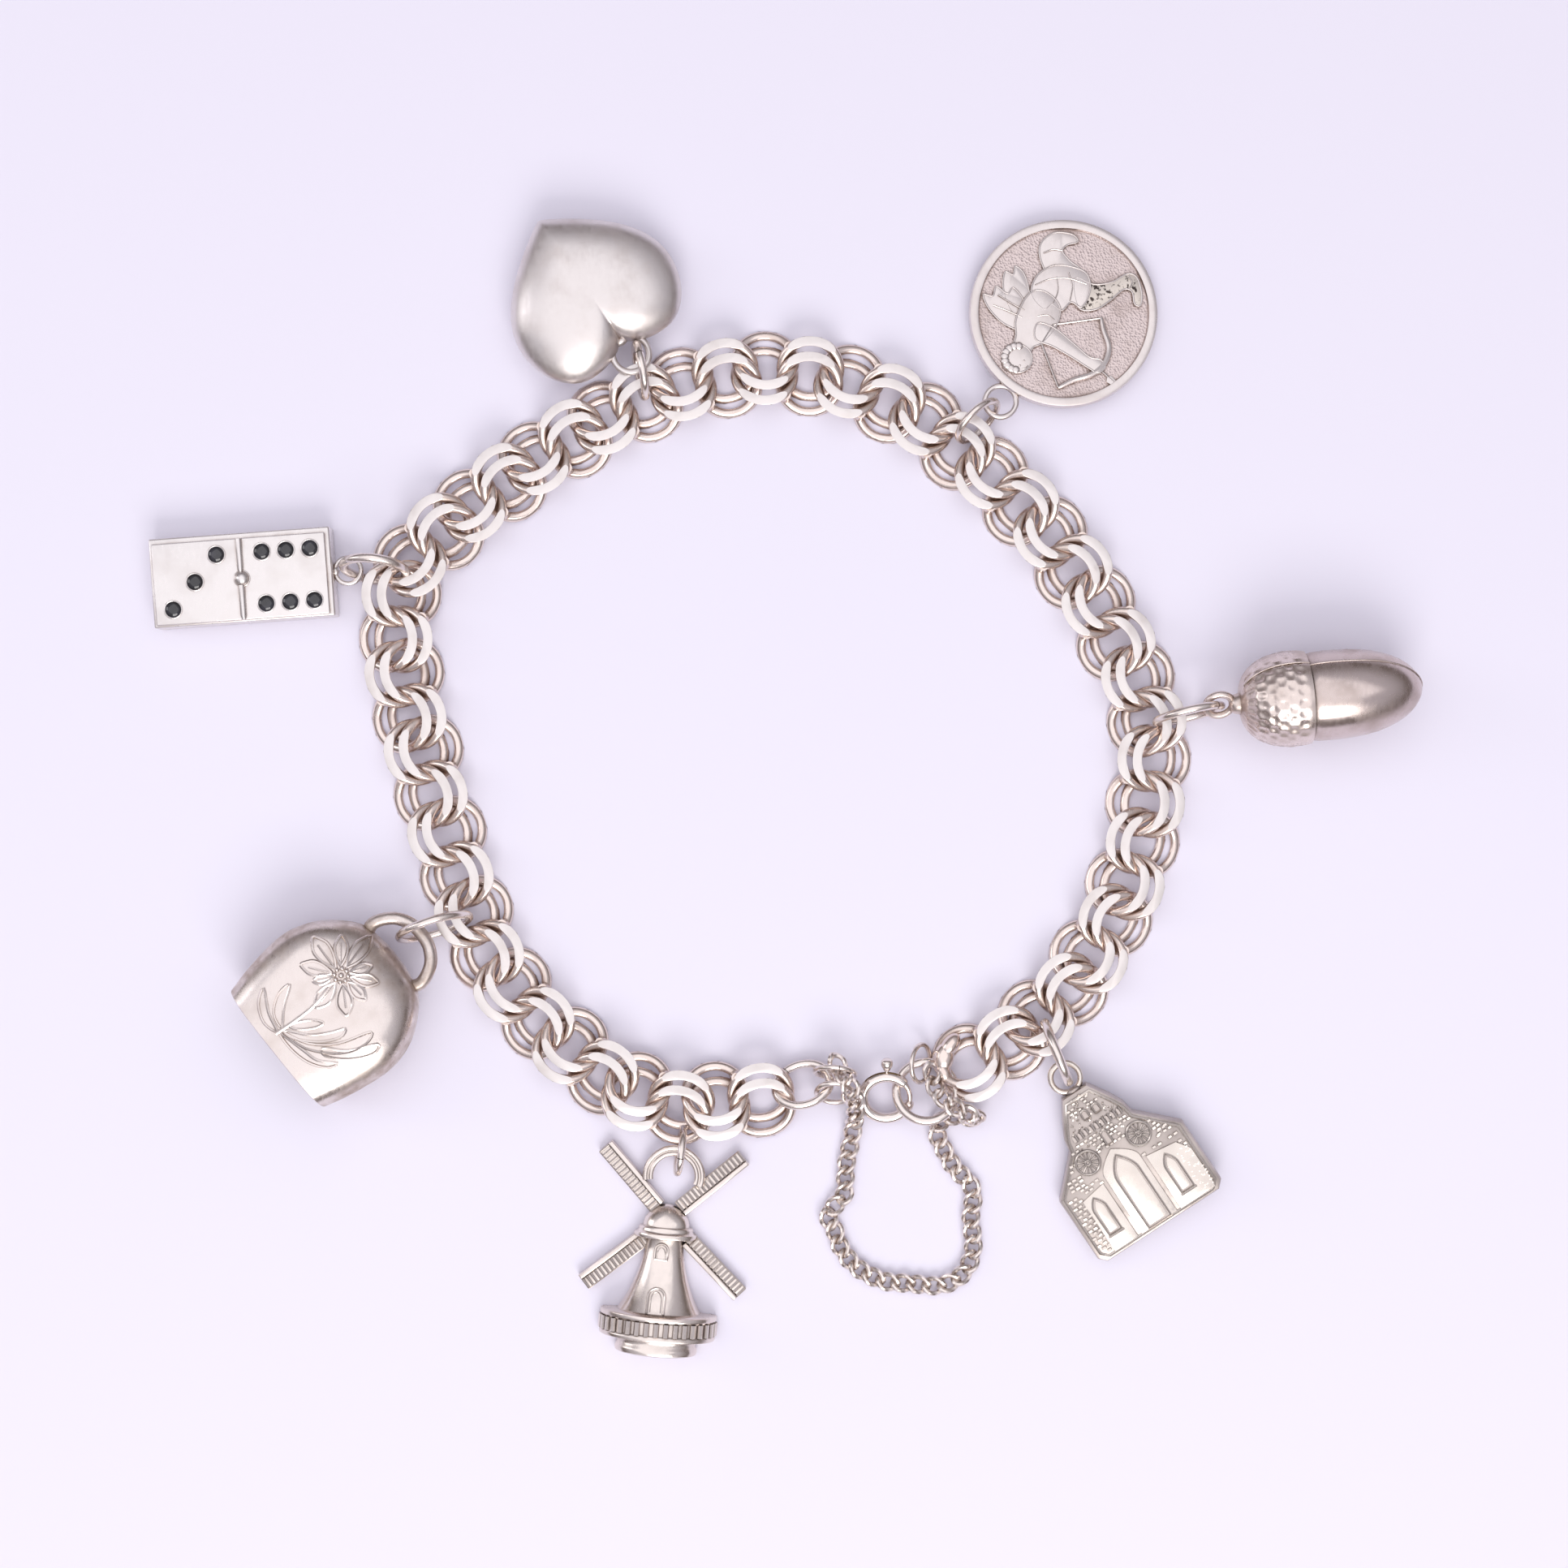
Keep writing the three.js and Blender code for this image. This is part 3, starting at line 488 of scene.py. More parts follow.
solid = bmesh.new()
add_ring(solid, 2.48, 0.39, 0.39, shift((11.8, -25.4, 1.4))
         @ tilt(-17, "X"), steps=64, sides=18)
finished("heavy_jump_ring", solid, Matrix(), [jump_ring_silver], ["clasp_jump_ring"])

# ---- Guard chain ----
# A fine curb chain that keeps the bracelet on the wrist if the clasp opens. Each link is a
# twisted oval of thin wire. It lies slack on the table and doubles back over the heavy ring.
guard_silver = silver("guard_silver", rough=0.22, blotch=0.3, crevice=0.5, gain=1.5)
guard_route = [(4.4, -23.0, 2.2), (4.8, -23.7, 2.3), (5.3, -24.5, 3.2), (5.8, -25.6, 3.15),
               (5.9, -26.9, 2.2), (5.8, -28.3, 0.75), (5.6, -29.6, 0.42), (5.2, -31.5, 0.42),
               (5.1, -32.9, 0.42), (5.0, -34.1, 0.42), (4.1, -35.2, 0.42), (3.7, -36.0, 0.42),
               (4.2, -37.0, 0.42), (4.5, -38.0, 0.42), (5.1, -39.1, 0.42), (6.0, -40.1, 0.42),
               (7.3, -40.9, 0.42), (8.8, -41.4, 0.42), (10.4, -41.5, 0.42), (12.6, -41.7, 0.42),
               (13.9, -41.4, 0.42), (15.0, -40.6, 0.42), (15.6, -39.4, 0.42), (15.8, -38.0, 0.42),
               (15.6, -36.7, 0.42), (15.6, -35.4, 0.42), (15.8, -34.2, 0.42), (15.4, -33.0, 0.42),
               (14.3, -32.0, 0.42), (13.4, -30.5, 0.42), (12.8, -29.2, 0.42), (12.9, -28.2, 0.42),
               (13.6, -27.7, 0.42), (14.7, -27.5, 0.45), (15.7, -27.7, 0.8), (16.0, -27.6, 1.6),
               (15.3, -27.2, 2.55), (14.2, -26.6, 2.9), (13.1, -25.8, 2.3), (12.5, -24.9, 1.7),
               (12.3, -23.8, 1.4)]
guard_pitch = 1.26
guard_line, guard_length = smooth_line(guard_route, 1600)
small_link = bmesh.new()
add_ring(small_link, 1.0, 0.33, 0.29, Matrix.Diagonal((0.84, 0.63, 0.82, 1)), steps=22, sides=8)
for vert in small_link.verts:
    bmesh.ops.rotate(small_link, verts=[vert], cent=(0, 0, 0),
                     matrix=Matrix.Rotation(vert.co.x * 0.75, 3, "X"))
small_mesh = bpy.data.meshes.new("small_link")
small_link.to_mesh(small_mesh)
small_link.free()
solid = bmesh.new()
dice = random.Random(7)
count = int(guard_length / guard_pitch)
for index in range(count + 1):
    at = min(len(guard_line) - 3, max(2, round(index / count * (len(guard_line) - 1))))
    way = (guard_line[at + 2] - guard_line[at - 2]).normalized()
    side = Vector((0, 0, 1)).cross(way)
    side = (side if side.length > 0.2 else Vector((0, 1, 0))).normalized()
    turned = Matrix((way, side, way.cross(side))).transposed().to_4x4()
    steep = abs(way.z)
    place = (shift(guard_line[at] + Vector((0, 0, 0.02 * dice.random()))) @ turned
             @ tilt(dice.uniform(-7, 7) * (1 + 3 * steep), "X"))
    whole = len(solid.verts)
    solid.from_mesh(small_mesh)
    solid.verts.ensure_lookup_table()
    bmesh.ops.transform(solid, matrix=place, verts=solid.verts[whole:])
finished("guard_curb_chain", solid, Matrix(), [guard_silver], ["guard_chain"])

# ---- Heart ----
# A puffed heart pressed from two thin shells of silver and soldered round its rim, with a small
# ring soldered in its cleft. Years of wear have left it satin, with fine slanting scratches.
heart_silver = silver("heart_silver", clean=(0.77, 0.725, 0.71), rough=0.36, blotch=0.45, crevice=2.2,
                      gain=0.9, scratch=1.2)


def charm_place(x, y, turn, towards=0, degrees=0, reach=0):
    """Where a charm lies. A propped one rests one edge on its jump ring."""
    tip = Matrix.Rotation(math.radians(degrees), 4, Vector(
        (math.sin(math.radians(towards)), -math.cos(math.radians(towards)), 0)))
    lift = reach * math.sin(math.radians(degrees))
    return (shift((x, y, lift)) @ tip @ tilt(turn, "Z"))


def bezier(a, b, c, d, count):
    """Points on a curve from a to d, without d itself."""
    a, b, c, d = (Vector((*p, 0)) for p in (a, b, c, d))
    spots = []
    for index in range(count):
        t = index / count
        spots.append(a * (1 - t) ** 3 + 3 * b * t * (1 - t) ** 2 + 3 * c * t * t * (1 - t) + d * t ** 3)
    return spots


def add_outline(solid, spots):
    """A closed loop of edges through the given points."""
    verts = [solid.verts.new(p) for p in spots]
    return [solid.edges.new((a, b)) for a, b in zip(verts, verts[1:] + verts[:1])]


right = (bezier((0, -3.9), (0.6, -4.9), (2.0, -5.35), (3.7, -5.3), 10)
         + bezier((3.7, -5.3), (5.8, -5.2), (7.35, -2.9), (7.35, -0.4), 12)
         + bezier((7.35, -0.4), (7.35, 2.8), (4.4, 5.4), (0.5, 7.75), 16)
         + [Vector((0.5, 7.75, 0)), Vector((0.2, 7.9, 0))])
heart_outline = right + [Vector((0, 7.95, 0))] + [Vector((-p.x, p.y, 0)) for p in reversed(right[1:])]
solid = bmesh.new()
for up in (1, -1):
    loop = add_outline(solid, [Vector((p.x - 0.6, p.y, 2.4)) for p in heart_outline])
    last_share, last_height = 1.0, 0.0
    for share in (0.992, 0.975, 0.95, 0.915, 0.87, 0.81, 0.74, 0.66, 0.57, 0.47, 0.36, 0.25, 0.14):
        height = 2.38 * (1 - share ** 2.5) ** 0.56
        middle = shift((-0.6, 0.6, 2.4))
        loop = grow_edges(solid, loop, shift((0, 0, up * (height - last_height)))
                          @ middle @ Matrix.Diagonal((share / last_share, share / last_share, 1, 1))
                          @ middle.inverted())
        last_share, last_height = share, height
    bmesh.ops.edgeloop_fill(solid, edges=loop)
bmesh.ops.remove_doubles(solid, verts=solid.verts, dist=1e-4)
add_ring(solid, 1.5, 0.27, 0.27, shift((-0.55, -5.45, 2.4)), steps=40, sides=14)
add_ball(solid, (-0.58, -4.1, 2.4), (0.6, 0.4, 0.42))
finished("puffed_heart", solid, charm_place(-15.3, 40.5, 34.5), [heart_silver], ["charm_heart"],
         crease=60)

# ---- Acorn ----
# A hollow acorn of thin silver. Its cap is punched all over with rows of oval dimples, its nut is
# polished and has gone smoky. A stalk soldered to the cap ends in a small ring.
acorn_cap_silver = silver("acorn_cap_silver", clean=(0.76, 0.665, 0.62), tarnish=(0.30, 0.225, 0.175),
                          rough=0.27, blotch=0.8, crevice=0.9, gain=1.7)
acorn_nut_silver = silver("acorn_nut_silver", clean=(0.64, 0.55, 0.52), tarnish=(0.33, 0.25, 0.20),
                          rough=0.22, blotch=0.9, crevice=1.2, gain=1.0, scratch=0.6)


def add_turned(solid, profile, steps=72, material=0, upright=False):
    """Spins (along, radius) rows round the X axis, like work in a lathe, or round Z if upright."""
    verts = [solid.verts.new((radius, 0, along) if upright else (along, radius, 0))
             for along, radius in profile]
    edges = [solid.edges.new(pair) for pair in zip(verts, verts[1:])]
    return spun(solid, verts + edges, (0, 0, 1) if upright else (1, 0, 0), steps, 0, material)


solid = bmesh.new()
cap = [(-6.98, 0), (-6.95, 0.75)]
for index in range(31):
    lean = math.radians(6 + index * 3.4)
    cap.append((-2.65 - 4.2 * math.cos(lean), 0.75 + 3.22 * math.sin(lean) ** 0.9))
cap += [(-2.2, 3.93), (-1.8, 3.82), (-1.62, 3.6), (-1.6, 3.2)]
cap_verts = add_turned(solid, cap, steps=150)
for vert in cap_verts:
    along, out = vert.co.x, math.hypot(vert.co.y, vert.co.z)
    if out < 1.4 or along > -1.9:
        continue
    row = (along + 6.6) / 0.78
    spots = max(6, round(2 * math.pi * (0.6 + out) / 1.02))
    column = math.atan2(vert.co.z, vert.co.y) / (2 * math.pi) * 26 + 0.5 * (math.floor(row) % 2)
    off = math.hypot((row % 1 - 0.5) * 1.05, (column % 1 - 0.5) * 1.0) * 2
    dip = 0.14 * max(0.0, 1 - off ** 2.4)
    vert.co.y *= 1 - dip / out
    vert.co.z *= 1 - dip / out
nut = [(-1.62, 3.25), (-1.5, 3.4), (-1.3, 3.55)]
nut += [(along, radius) for along, radius in (
    (-0.7, 3.66), (0.2, 3.70), (1.2, 3.69), (2.2, 3.64), (3.2, 3.53), (4.2, 3.35), (5.1, 3.08),
    (5.9, 2.75), (6.5, 2.42), (7.0, 2.05), (7.4, 1.67), (7.72, 1.27), (7.96, 0.84), (8.11, 0.42),
    (8.16, 0))]
add_turned(solid, nut, steps=72, material=1)
seam = math.radians(44)
for line, wire, finish in ((nut[2:], 0.09, 1), (cap[6:33], 0.07, 0)):
    add_wire(solid, [(along, radius * math.cos(seam), radius * math.sin(seam)) for along, radius in line],
             wire, sides=8, material=finish)
add_turned(solid, [(-7.75, 0), (-7.7, 0.55), (-7.4, 0.78), (-6.9, 0.9), (-6.7, 0.9)], steps=32)
bmesh.ops.translate(solid, vec=(0, 0.3, 4.02), verts=solid.verts)
add_ring(solid, 1.1, 0.3, 0.3, shift((-8.55, 0.35, 4.02))
         @ tilt(40, "X"), steps=36, sides=14)
finished("acorn", solid, charm_place(44.3, 7.1, 5.5), [acorn_cap_silver, acorn_nut_silver],
         ["charm_acorn"], crease=50)

# ---- Disc ----
# A round plate struck with a smooth rim, a stippled field and a flat winged archer standing
# proud of it inside a raised outline. A wire ring is soldered to the rim.
disc_silver = silver("disc_silver", clean=(0.74, 0.685, 0.665), rough=0.30, blotch=0.3, crevice=0.25,
                     gain=1.0, scratch=0.6)


def stipple(start, place):
    grain = start.node("ShaderNodeTexVoronoi", {}, {"Vector": place, "Scale": 5600})
    return grain * 0.05


field_silver = silver("stippled_silver", clean=(0.68, 0.58, 0.56), tarnish=(0.36, 0.27, 0.23),
                      rough=0.32, blotch=0.9, crevice=0.3, gain=1.4, relief=stipple)
black_specks, start, link = new_finish("black_specks", Metallic=1.0, Roughness=0.45)
place = start.node("ShaderNodeTexCoord", out="Object")
spots = start.node("ShaderNodeTexNoise", {}, {"Vector": place, "Scale": 3600, "Detail": 4})
patch = start.node("ShaderNodeTexNoise", {}, {"Vector": place, "Scale": 700, "Detail": 2})
link("Base Color", (spots * 0.6 + patch * 0.5).between(0.55, 0.64).tint(
    (0.70, 0.64, 0.58), (0.07, 0.055, 0.05)))


def rounded(points, per=5):
    """A closed smooth line through the points."""
    points = [Vector((*p, 0)[:3]) for p in points]
    spots = []
    for index in range(len(points)):
        a, b, c, d = (points[(index + step) % len(points)] for step in (-1, 0, 1, 2))
        for part in range(per):
            t = part / per
            spots.append(0.5 * (2 * b + (c - a) * t + (2 * a - 5 * b + 4 * c - d) * t * t
                                + (3 * b - a - 3 * c + d) * t ** 3))
    return spots


def add_plate(solid, outline, low, high, edge=0.0, material=0):
    """A flat plate with the given outline, from low to high, its top edge rounded by edge."""
    before = set(solid.verts)
    loop = add_outline(solid, [Vector((p[0], p[1], low)) for p in outline])
    floor_face = bmesh.ops.edgeloop_fill(solid, edges=loop)["faces"]
    top = bmesh.ops.extrude_face_region(solid, geom=floor_face)["geom"]
    top_face = [g for g in top if isinstance(g, bmesh.types.BMFace)]
    bmesh.ops.translate(solid, vec=(0, 0, high - low),
                        verts=[g for g in top if isinstance(g, bmesh.types.BMVert)])
    if edge:
        bmesh.ops.bevel(solid, geom=list(top_face[0].edges), offset=edge, segments=2, profile=0.5,
                        material=-1, affect="EDGES", clamp_overlap=True)
    painted(solid, before, material)


solid = bmesh.new()
add_turned(solid, [(0, 0), (0, 7.6), (0.06, 7.78), (0.25, 7.85), (0.9, 7.85), (1.08, 7.78),
                   (1.15, 7.6), (1.15, 7.25), (1.11, 7.12), (1.0, 7.05), (0.88, 7.04)],
           steps=96, upright=True)
add_turned(solid, [(0.88, 7.06), (0.88, 0)], steps=96, material=1, upright=True)
figure = {
    "far_wing": [(-3.3, -0.6), (-4.4, 0.2), (-5.0, 1.8), (-4.9, 3.4), (-4.2, 3.2), (-4.0, 3.9),
                 (-3.3, 3.3), (-2.9, 2.0), (-2.6, 0.4)],
    "near_wing": [(-3.5, -1.4), (-5.0, -0.9), (-6.2, 0.3), (-6.7, 1.5), (-5.9, 1.4), (-5.6, 2.2),
                  (-4.7, 1.6), (-4.2, 2.1), (-3.4, 1.2), (-2.9, -0.2)],
    "back_leg": [(-0.9, 2.9), (-1.9, 4.4), (-1.9, 5.8), (-0.8, 6.7), (0.7, 6.6), (1.2, 6.0),
                 (0.3, 5.7), (-0.1, 5.2), (0.5, 4.4), (1.5, 3.4)],
    "front_leg": [(0.9, 2.9), (2.5, 2.4), (4.0, 2.6), (5.3, 3.3), (6.1, 3.0), (6.5, 1.7), (6.4, 0.7),
                  (5.9, 0.8), (5.7, 1.8), (5.0, 2.0), (3.9, 1.1), (2.6, 0.3), (1.2, 0.5)],
    "cloth": [(-2.7, 1.5), (-2.3, 3.0), (-1.0, 3.9), (0.5, 3.9), (1.9, 3.3), (2.2, 1.9), (1.5, 0.5),
              (0.6, 0.9), (-0.2, 0.2), (-1.0, 0.7), (-1.7, 0.3)],
    "body": [(-4.2, -2.9), (-4.0, -1.9), (-4.0, -0.6), (-3.2, 1.2), (-2.2, 1.9), (-1.0, 1.4),
             (-0.3, 0.3), (-0.7, -1.2), (-1.8, -2.5), (-2.6, -2.9), (-3.1, -3.6)],
    "arm": [(-2.2, -0.9), (-0.8, -1.3), (0.8, -2.6), (2.1, -3.7), (3.0, -3.9), (3.4, -4.5),
            (2.8, -5.0), (2.0, -4.6), (0.6, -3.7), (-1.0, -2.8), (-2.4, -2.2)],
    "head": [(-3.9 + 1.22 * math.cos(t * 0.6283), -3.85 + 1.18 * math.sin(t * 0.6283))
             for t in range(10)],
}
for layer, (part, points) in enumerate(figure.items()):
    outline = rounded(points)
    top = 1.0 + layer * 0.035
    add_plate(solid, outline, 0.85, top, 0.07, 2 if part == "front_leg" else 0)
    add_wire(solid, [(p.x, p.y, top) for p in outline], 0.07, sides=6, closed=True, flat=0.7)
for turn in range(9):
    lean = math.radians(80 + turn * 23)
    add_ball(solid, (-3.95 + 1.0 * math.cos(lean), -3.8 + 1.0 * math.sin(lean), 1.24),
             (0.36, 0.34, 0.14), detail=2)
for x, y in ((-3.35, -4.05), (-3.7, -4.45)):
    add_ball(solid, (x, y, 1.25), (0.09, 0.09, 0.05), detail=2)
add_wire(solid, [(-3.45, -4.72, 1.25), (-3.2, -4.66, 1.26), (-3.02, -4.45, 1.25)], 0.045, sides=6)
folds = [[(-2.4, 2.3), (-1.2, 2.8), (0.3, 2.9), (1.9, 2.4)], [(-0.9, 0.8), (-0.5, 1.8), (-0.6, 3.0)],
         [(0.5, 1.0), (0.7, 2.2), (0.4, 3.4)], [(-5.9, 0.6), (-4.6, 0.1), (-3.5, -0.4)],
         [(-5.5, 1.5), (-4.4, 0.8), (-3.3, 0.2)], [(-2.2, -0.3), (-1.4, -0.2), (-0.8, -0.6)],
         [(5.5, 2.1), (5.7, 2.6), (5.4, 3.1)], [(-1.7, 5.0), (-0.9, 5.3), (-0.1, 5.2)]]
for fold in folds:
    line, length = smooth_line([(*spot, 1.16) for spot in fold], 12)
    add_wire(solid, line, 0.055, sides=6)
bow, length = smooth_line([(3.1, -0.35, 1.0), (3.3, -1.4, 1.0), (3.75, -2.9, 1.0), (3.3, -4.3, 1.05),
                           (2.2, -5.15, 1.0), (0.8, -5.6, 1.0), (-0.5, -6.25, 1.0)], 36)
add_wire(solid, bow, [0.13 + 0.14 * math.sin(math.pi * i / (len(bow) - 1)) ** 0.5
                      for i in range(len(bow))], sides=8)
for line in ([(3.1, -0.4, 1.0), (-0.9, -1.0, 1.14)], [(-1.9, -2.5, 1.1), (-0.5, -6.2, 1.0)],
             [(3.2, -4.9, 1.02), (4.5, -6.05, 1.02)], [(-0.9, -1.0, 1.16), (-1.9, -2.6, 1.16)]):
    add_wire(solid, line, 0.085, sides=6)
add_plate(solid, rounded([(3.9, -5.2), (4.75, -6.3), (3.5, -5.75)], 2), 0.85, 1.08, 0.04)
add_ring(solid, 1.3, 0.24, 0.24, shift((-5.25, -7.35, 0.575)), steps=40, sides=14)
finished("archer_disc", solid, charm_place(23.2, 39.2, 0, 234.5, 3.2, 7.85),
         [disc_silver, field_silver, black_specks], ["charm_disc"], crease=28)

# ---- Church ----
# A flat cast church front. Its bevelled edge and every hollow have been blackened and the raised
# parts rubbed bright: a pointed door, two windows, two wheel windows, bricks and slates. The door and
# windows are not sunk, so the dark in them is blackened silver and painted shade of their depth.
church_silver = silver("church_silver", clean=(0.80, 0.735, 0.67), tarnish=(0.22, 0.17, 0.155),
                       rough=0.24, blotch=0.35, crevice=0.22, gain=0.9, scratch=0.6)
church_black = silver("church_black", clean=(0.55, 0.49, 0.455), tarnish=(0.13, 0.11, 0.105),
                      rough=0.33, blotch=0.7, crevice=0.35, gain=1.3)


def pointed_arch(left, right, base, spring, apex, count=7):
    """The outline of a pointed door or window."""
    middle = (left + right) / 2
    rise = [(((i / count) ** 1.7), (i / count)) for i in range(count + 1)]
    up = [(left + (middle - left) * w, spring + (apex - spring) * h) for w, h in rise]
    down = [(right - (right - middle) * w, spring + (apex - spring) * h) for w, h in reversed(rise[:-1])]
    return [(left, base)] + up + down + [(right, base)]


half = [(5.5, -4.4), (6.1, -3.8), (6.1, 1.9), (3.1, 4.9), (2.9, 6.0), (2.3, 7.15), (1.2, 8.9)]
church_outline = [(x - 0.5, y) for x, y in half] + [(-x - 0.5, y) for x, y in reversed(half)]
solid = bmesh.new()
add_plate(solid, church_outline, 0, 1.7, 0.34, 1)
step = [(-0.5 + (x + 0.5) * 0.945, 1.0 + (y - 1.0) * 0.945) for x, y in church_outline]
add_plate(solid, step, 1.5, 1.8, 0.08, 1)
trim = [(-0.5 + (x + 0.5) * 0.925, 1.0 + (y - 1.0) * 0.93, 1.76) for x, y in church_outline]
add_wire(solid, trim, 0.14, sides=6, closed=True)
face = 1.9
add_plate(solid, pointed_arch(-2.35, 1.15, -3.95, 1.7, 3.35), 1.7, face, 0.06)
add_plate(solid, [(-5.0, -3.95), (-2.7, -3.95), (-2.7, 1.3), (-5.0, 0.9)], 1.7, face, 0.06)
add_plate(solid, [(1.5, -3.95), (4.9, -3.95), (5.0, -3.3), (5.0, -0.2), (4.2, 0.9), (1.5, 1.25)],
          1.7, face, 0.06)
# Door and windows: a frame wire, a dark band and a raised leaf. The dark band is blackened silver and
# painted shade: it lies level with the face instead of sunk.
for left, right, base, spring, apex in ((-1.6, 0.55, -3.9, 0.9, 2.75), (-4.65, -3.45, -2.6, -0.3, 0.75),
                                        (2.3, 3.5, -2.9, -0.5, 0.6)):
    outline = pointed_arch(left, right, base, spring, apex)
    add_plate(solid, outline, 1.8, face + 0.015, 0, 1)
    add_wire(solid, [(*p, face + 0.01) for p in outline], 0.09, sides=6, closed=True)
    inset = 0.2
    inner = pointed_arch(left + inset, right - inset, base + inset, spring, apex - 1.6 * inset)
    add_plate(solid, inner, 1.8, face + 0.05, 0.03)
for left, right, base in ((-4.8, -3.3, -2.75), (2.15, 3.65, -3.05)):
    add_wire(solid, [(left, base, face), (right, base, face)], 0.1, sides=6)
# Wheel windows: a dark disc behind the spokes, blackened silver and painted shade of the openings, which
# are not cut through.
for x, y in ((-2.8, 3.4), (2.05, 3.15)):
    add_plate(solid, [(x + 1.02 * math.cos(t * 0.2618), y + 1.02 * math.sin(t * 0.2618))
                      for t in range(24)], 1.75, face - 0.02, 0, 1)
    add_wire(solid, arc(1.0, 0, 345, 24, face, (x, y)), 0.1, sides=6, closed=True)
    for spoke in range(14):
        lean = math.radians(spoke * 360 / 14 + 9)
        add_wire(solid, [(x + r * math.cos(lean), y + r * math.sin(lean), face + 0.02)
                         for r in (0.3, 0.86)], [0.045, 0.085], sides=6)
    add_wire(solid, arc(0.22, 0, 330, 12, face + 0.04, (x, y)), 0.07, sides=6, closed=True)
dice = random.Random(31)


def add_bricks(left, right, low, high, wide, tall, skip, slope=0.0):
    """Rows of small raised bricks with dark joints. Some are worn away."""
    rows = int((high - low) / tall)
    for row in range(rows):
        y = low + (row + 0.5) * tall
        x = left + (row % 2) * wide / 2 + wide / 2 + slope * row
        while x < right:
            reach = 6.1 if y < 1.9 else 8.0 - y if y < 4.9 else 5.4 - 0.475 * y
            if dice.random() > skip and abs(x + 0.5) < reach * 0.93 - 0.15:
                block = bmesh.ops.create_cube(
                    solid, size=1, matrix=shift(
                        (x + dice.uniform(-0.04, 0.04), y + dice.uniform(-0.03, 0.03), 1.82))
                    @ Matrix.Rotation(dice.uniform(-0.12, 0.12), 4, "Z")
                    @ Matrix.Rotation(dice.uniform(-0.12, 0.12), 4, "X")
                    @ Matrix.Diagonal((wide * dice.uniform(0.7, 0.86), tall * 0.7, 0.16, 1)))["verts"]
                tops = [v for v in block if v.co.z > 1.84]
                bmesh.ops.scale(solid, vec=(0.8, 0.7, 1), verts=tops, space=shift(
                    -sum((v.co for v in tops), Vector()) / max(1, len(tops))))
            x += wide


for row in (
        (-6.1, -5.0, -3.8, 1.9, 0.52, 0.36, 0.05),
        (-5.0, -2.6, 1.25, 1.95, 0.5, 0.34, 0.12),
        (-5.9, -3.9, 1.9, 3.0, 0.5, 0.36, 0.15, 0.3),
        (1.2, 5.0, 1.3, 2.0, 0.52, 0.36, 0.15),
        (3.2, 4.7, 2.0, 3.3, 0.5, 0.36, 0.2),
        (4.3, 5.1, -0.2, 1.2, 0.5, 0.4, 0.3),
        (-4.0, 3.2, 4.5, 5.3, 0.42, 0.34, 0.15),
        (-3.0, 2.1, 6.1, 6.35, 0.4, 0.3, 0.2),
        (-2.7, 1.7, 7.3, 8.4, 0.4, 0.33, 0.3, 0.12),
        (-1.7, 1.1, 3.5, 4.6, 0.4, 0.36, 0.15),
        (-4.5, -3.6, 3.3, 4.6, 0.4, 0.36, 0.2),
        (3.1, 4.4, 1.95, 4.2, 0.46, 0.36, 0.25)):
    add_bricks(*row)
for x in range(9):
    spot = -2.65 + x * 0.54
    add_plate(solid, pointed_arch(spot - 0.12, spot + 0.1, 5.35, 5.7, 5.95, 2), 1.7, face + 0.02, 0, 1)
    add_wire(solid, [(spot + 0.2, 5.3, face - 0.04), (spot + 0.2, 5.95, face - 0.04)], 0.1, sides=6)
# Three small windows, their dark fill blackened silver and painted shade of a depth that is not modelled.
for left, right, base, apex in ((-1.05, -0.5, 6.5, 7.3), (0.05, 0.6, 6.5, 7.3), (-0.62, -0.05, 3.75, 5.0)):
    outline = pointed_arch(left, right, base, apex - 0.25, apex, 3)
    add_plate(solid, outline, 1.7, face + 0.01, 0, 1)
    add_wire(solid, [(*p, face + 0.01) for p in outline], 0.085, sides=6, closed=True)
for grain in range(150):
    x, y = dice.uniform(-2.6, 1.6), dice.uniform(3.6, 8.5)
    if abs(x + 0.5) > (9.6 - y) * 0.62:
        continue
    add_ball(solid, (x, y, 1.8), (dice.uniform(0.07, 0.15), dice.uniform(0.07, 0.13), 0.09), detail=1)
for grain in range(50):
    add_ball(solid, (dice.uniform(3.8, 5.0), dice.uniform(-3.6, 0.6), face - 0.02),
             (dice.uniform(0.08, 0.18), dice.uniform(0.06, 0.12), 0.05), detail=1)
add_ring(solid, 1.23, 0.26, 0.26, shift((-0.45, 10.2, 0.95)), steps=40, sides=14)
add_ball(solid, (-0.47, 8.95, 0.95), (0.75, 0.35, 0.5), 1)
finished("church_front", solid, charm_place(29.5, -32.4, 34, 34, 5, 6.65),
         [church_silver, church_black], ["charm_church"], crease=35)

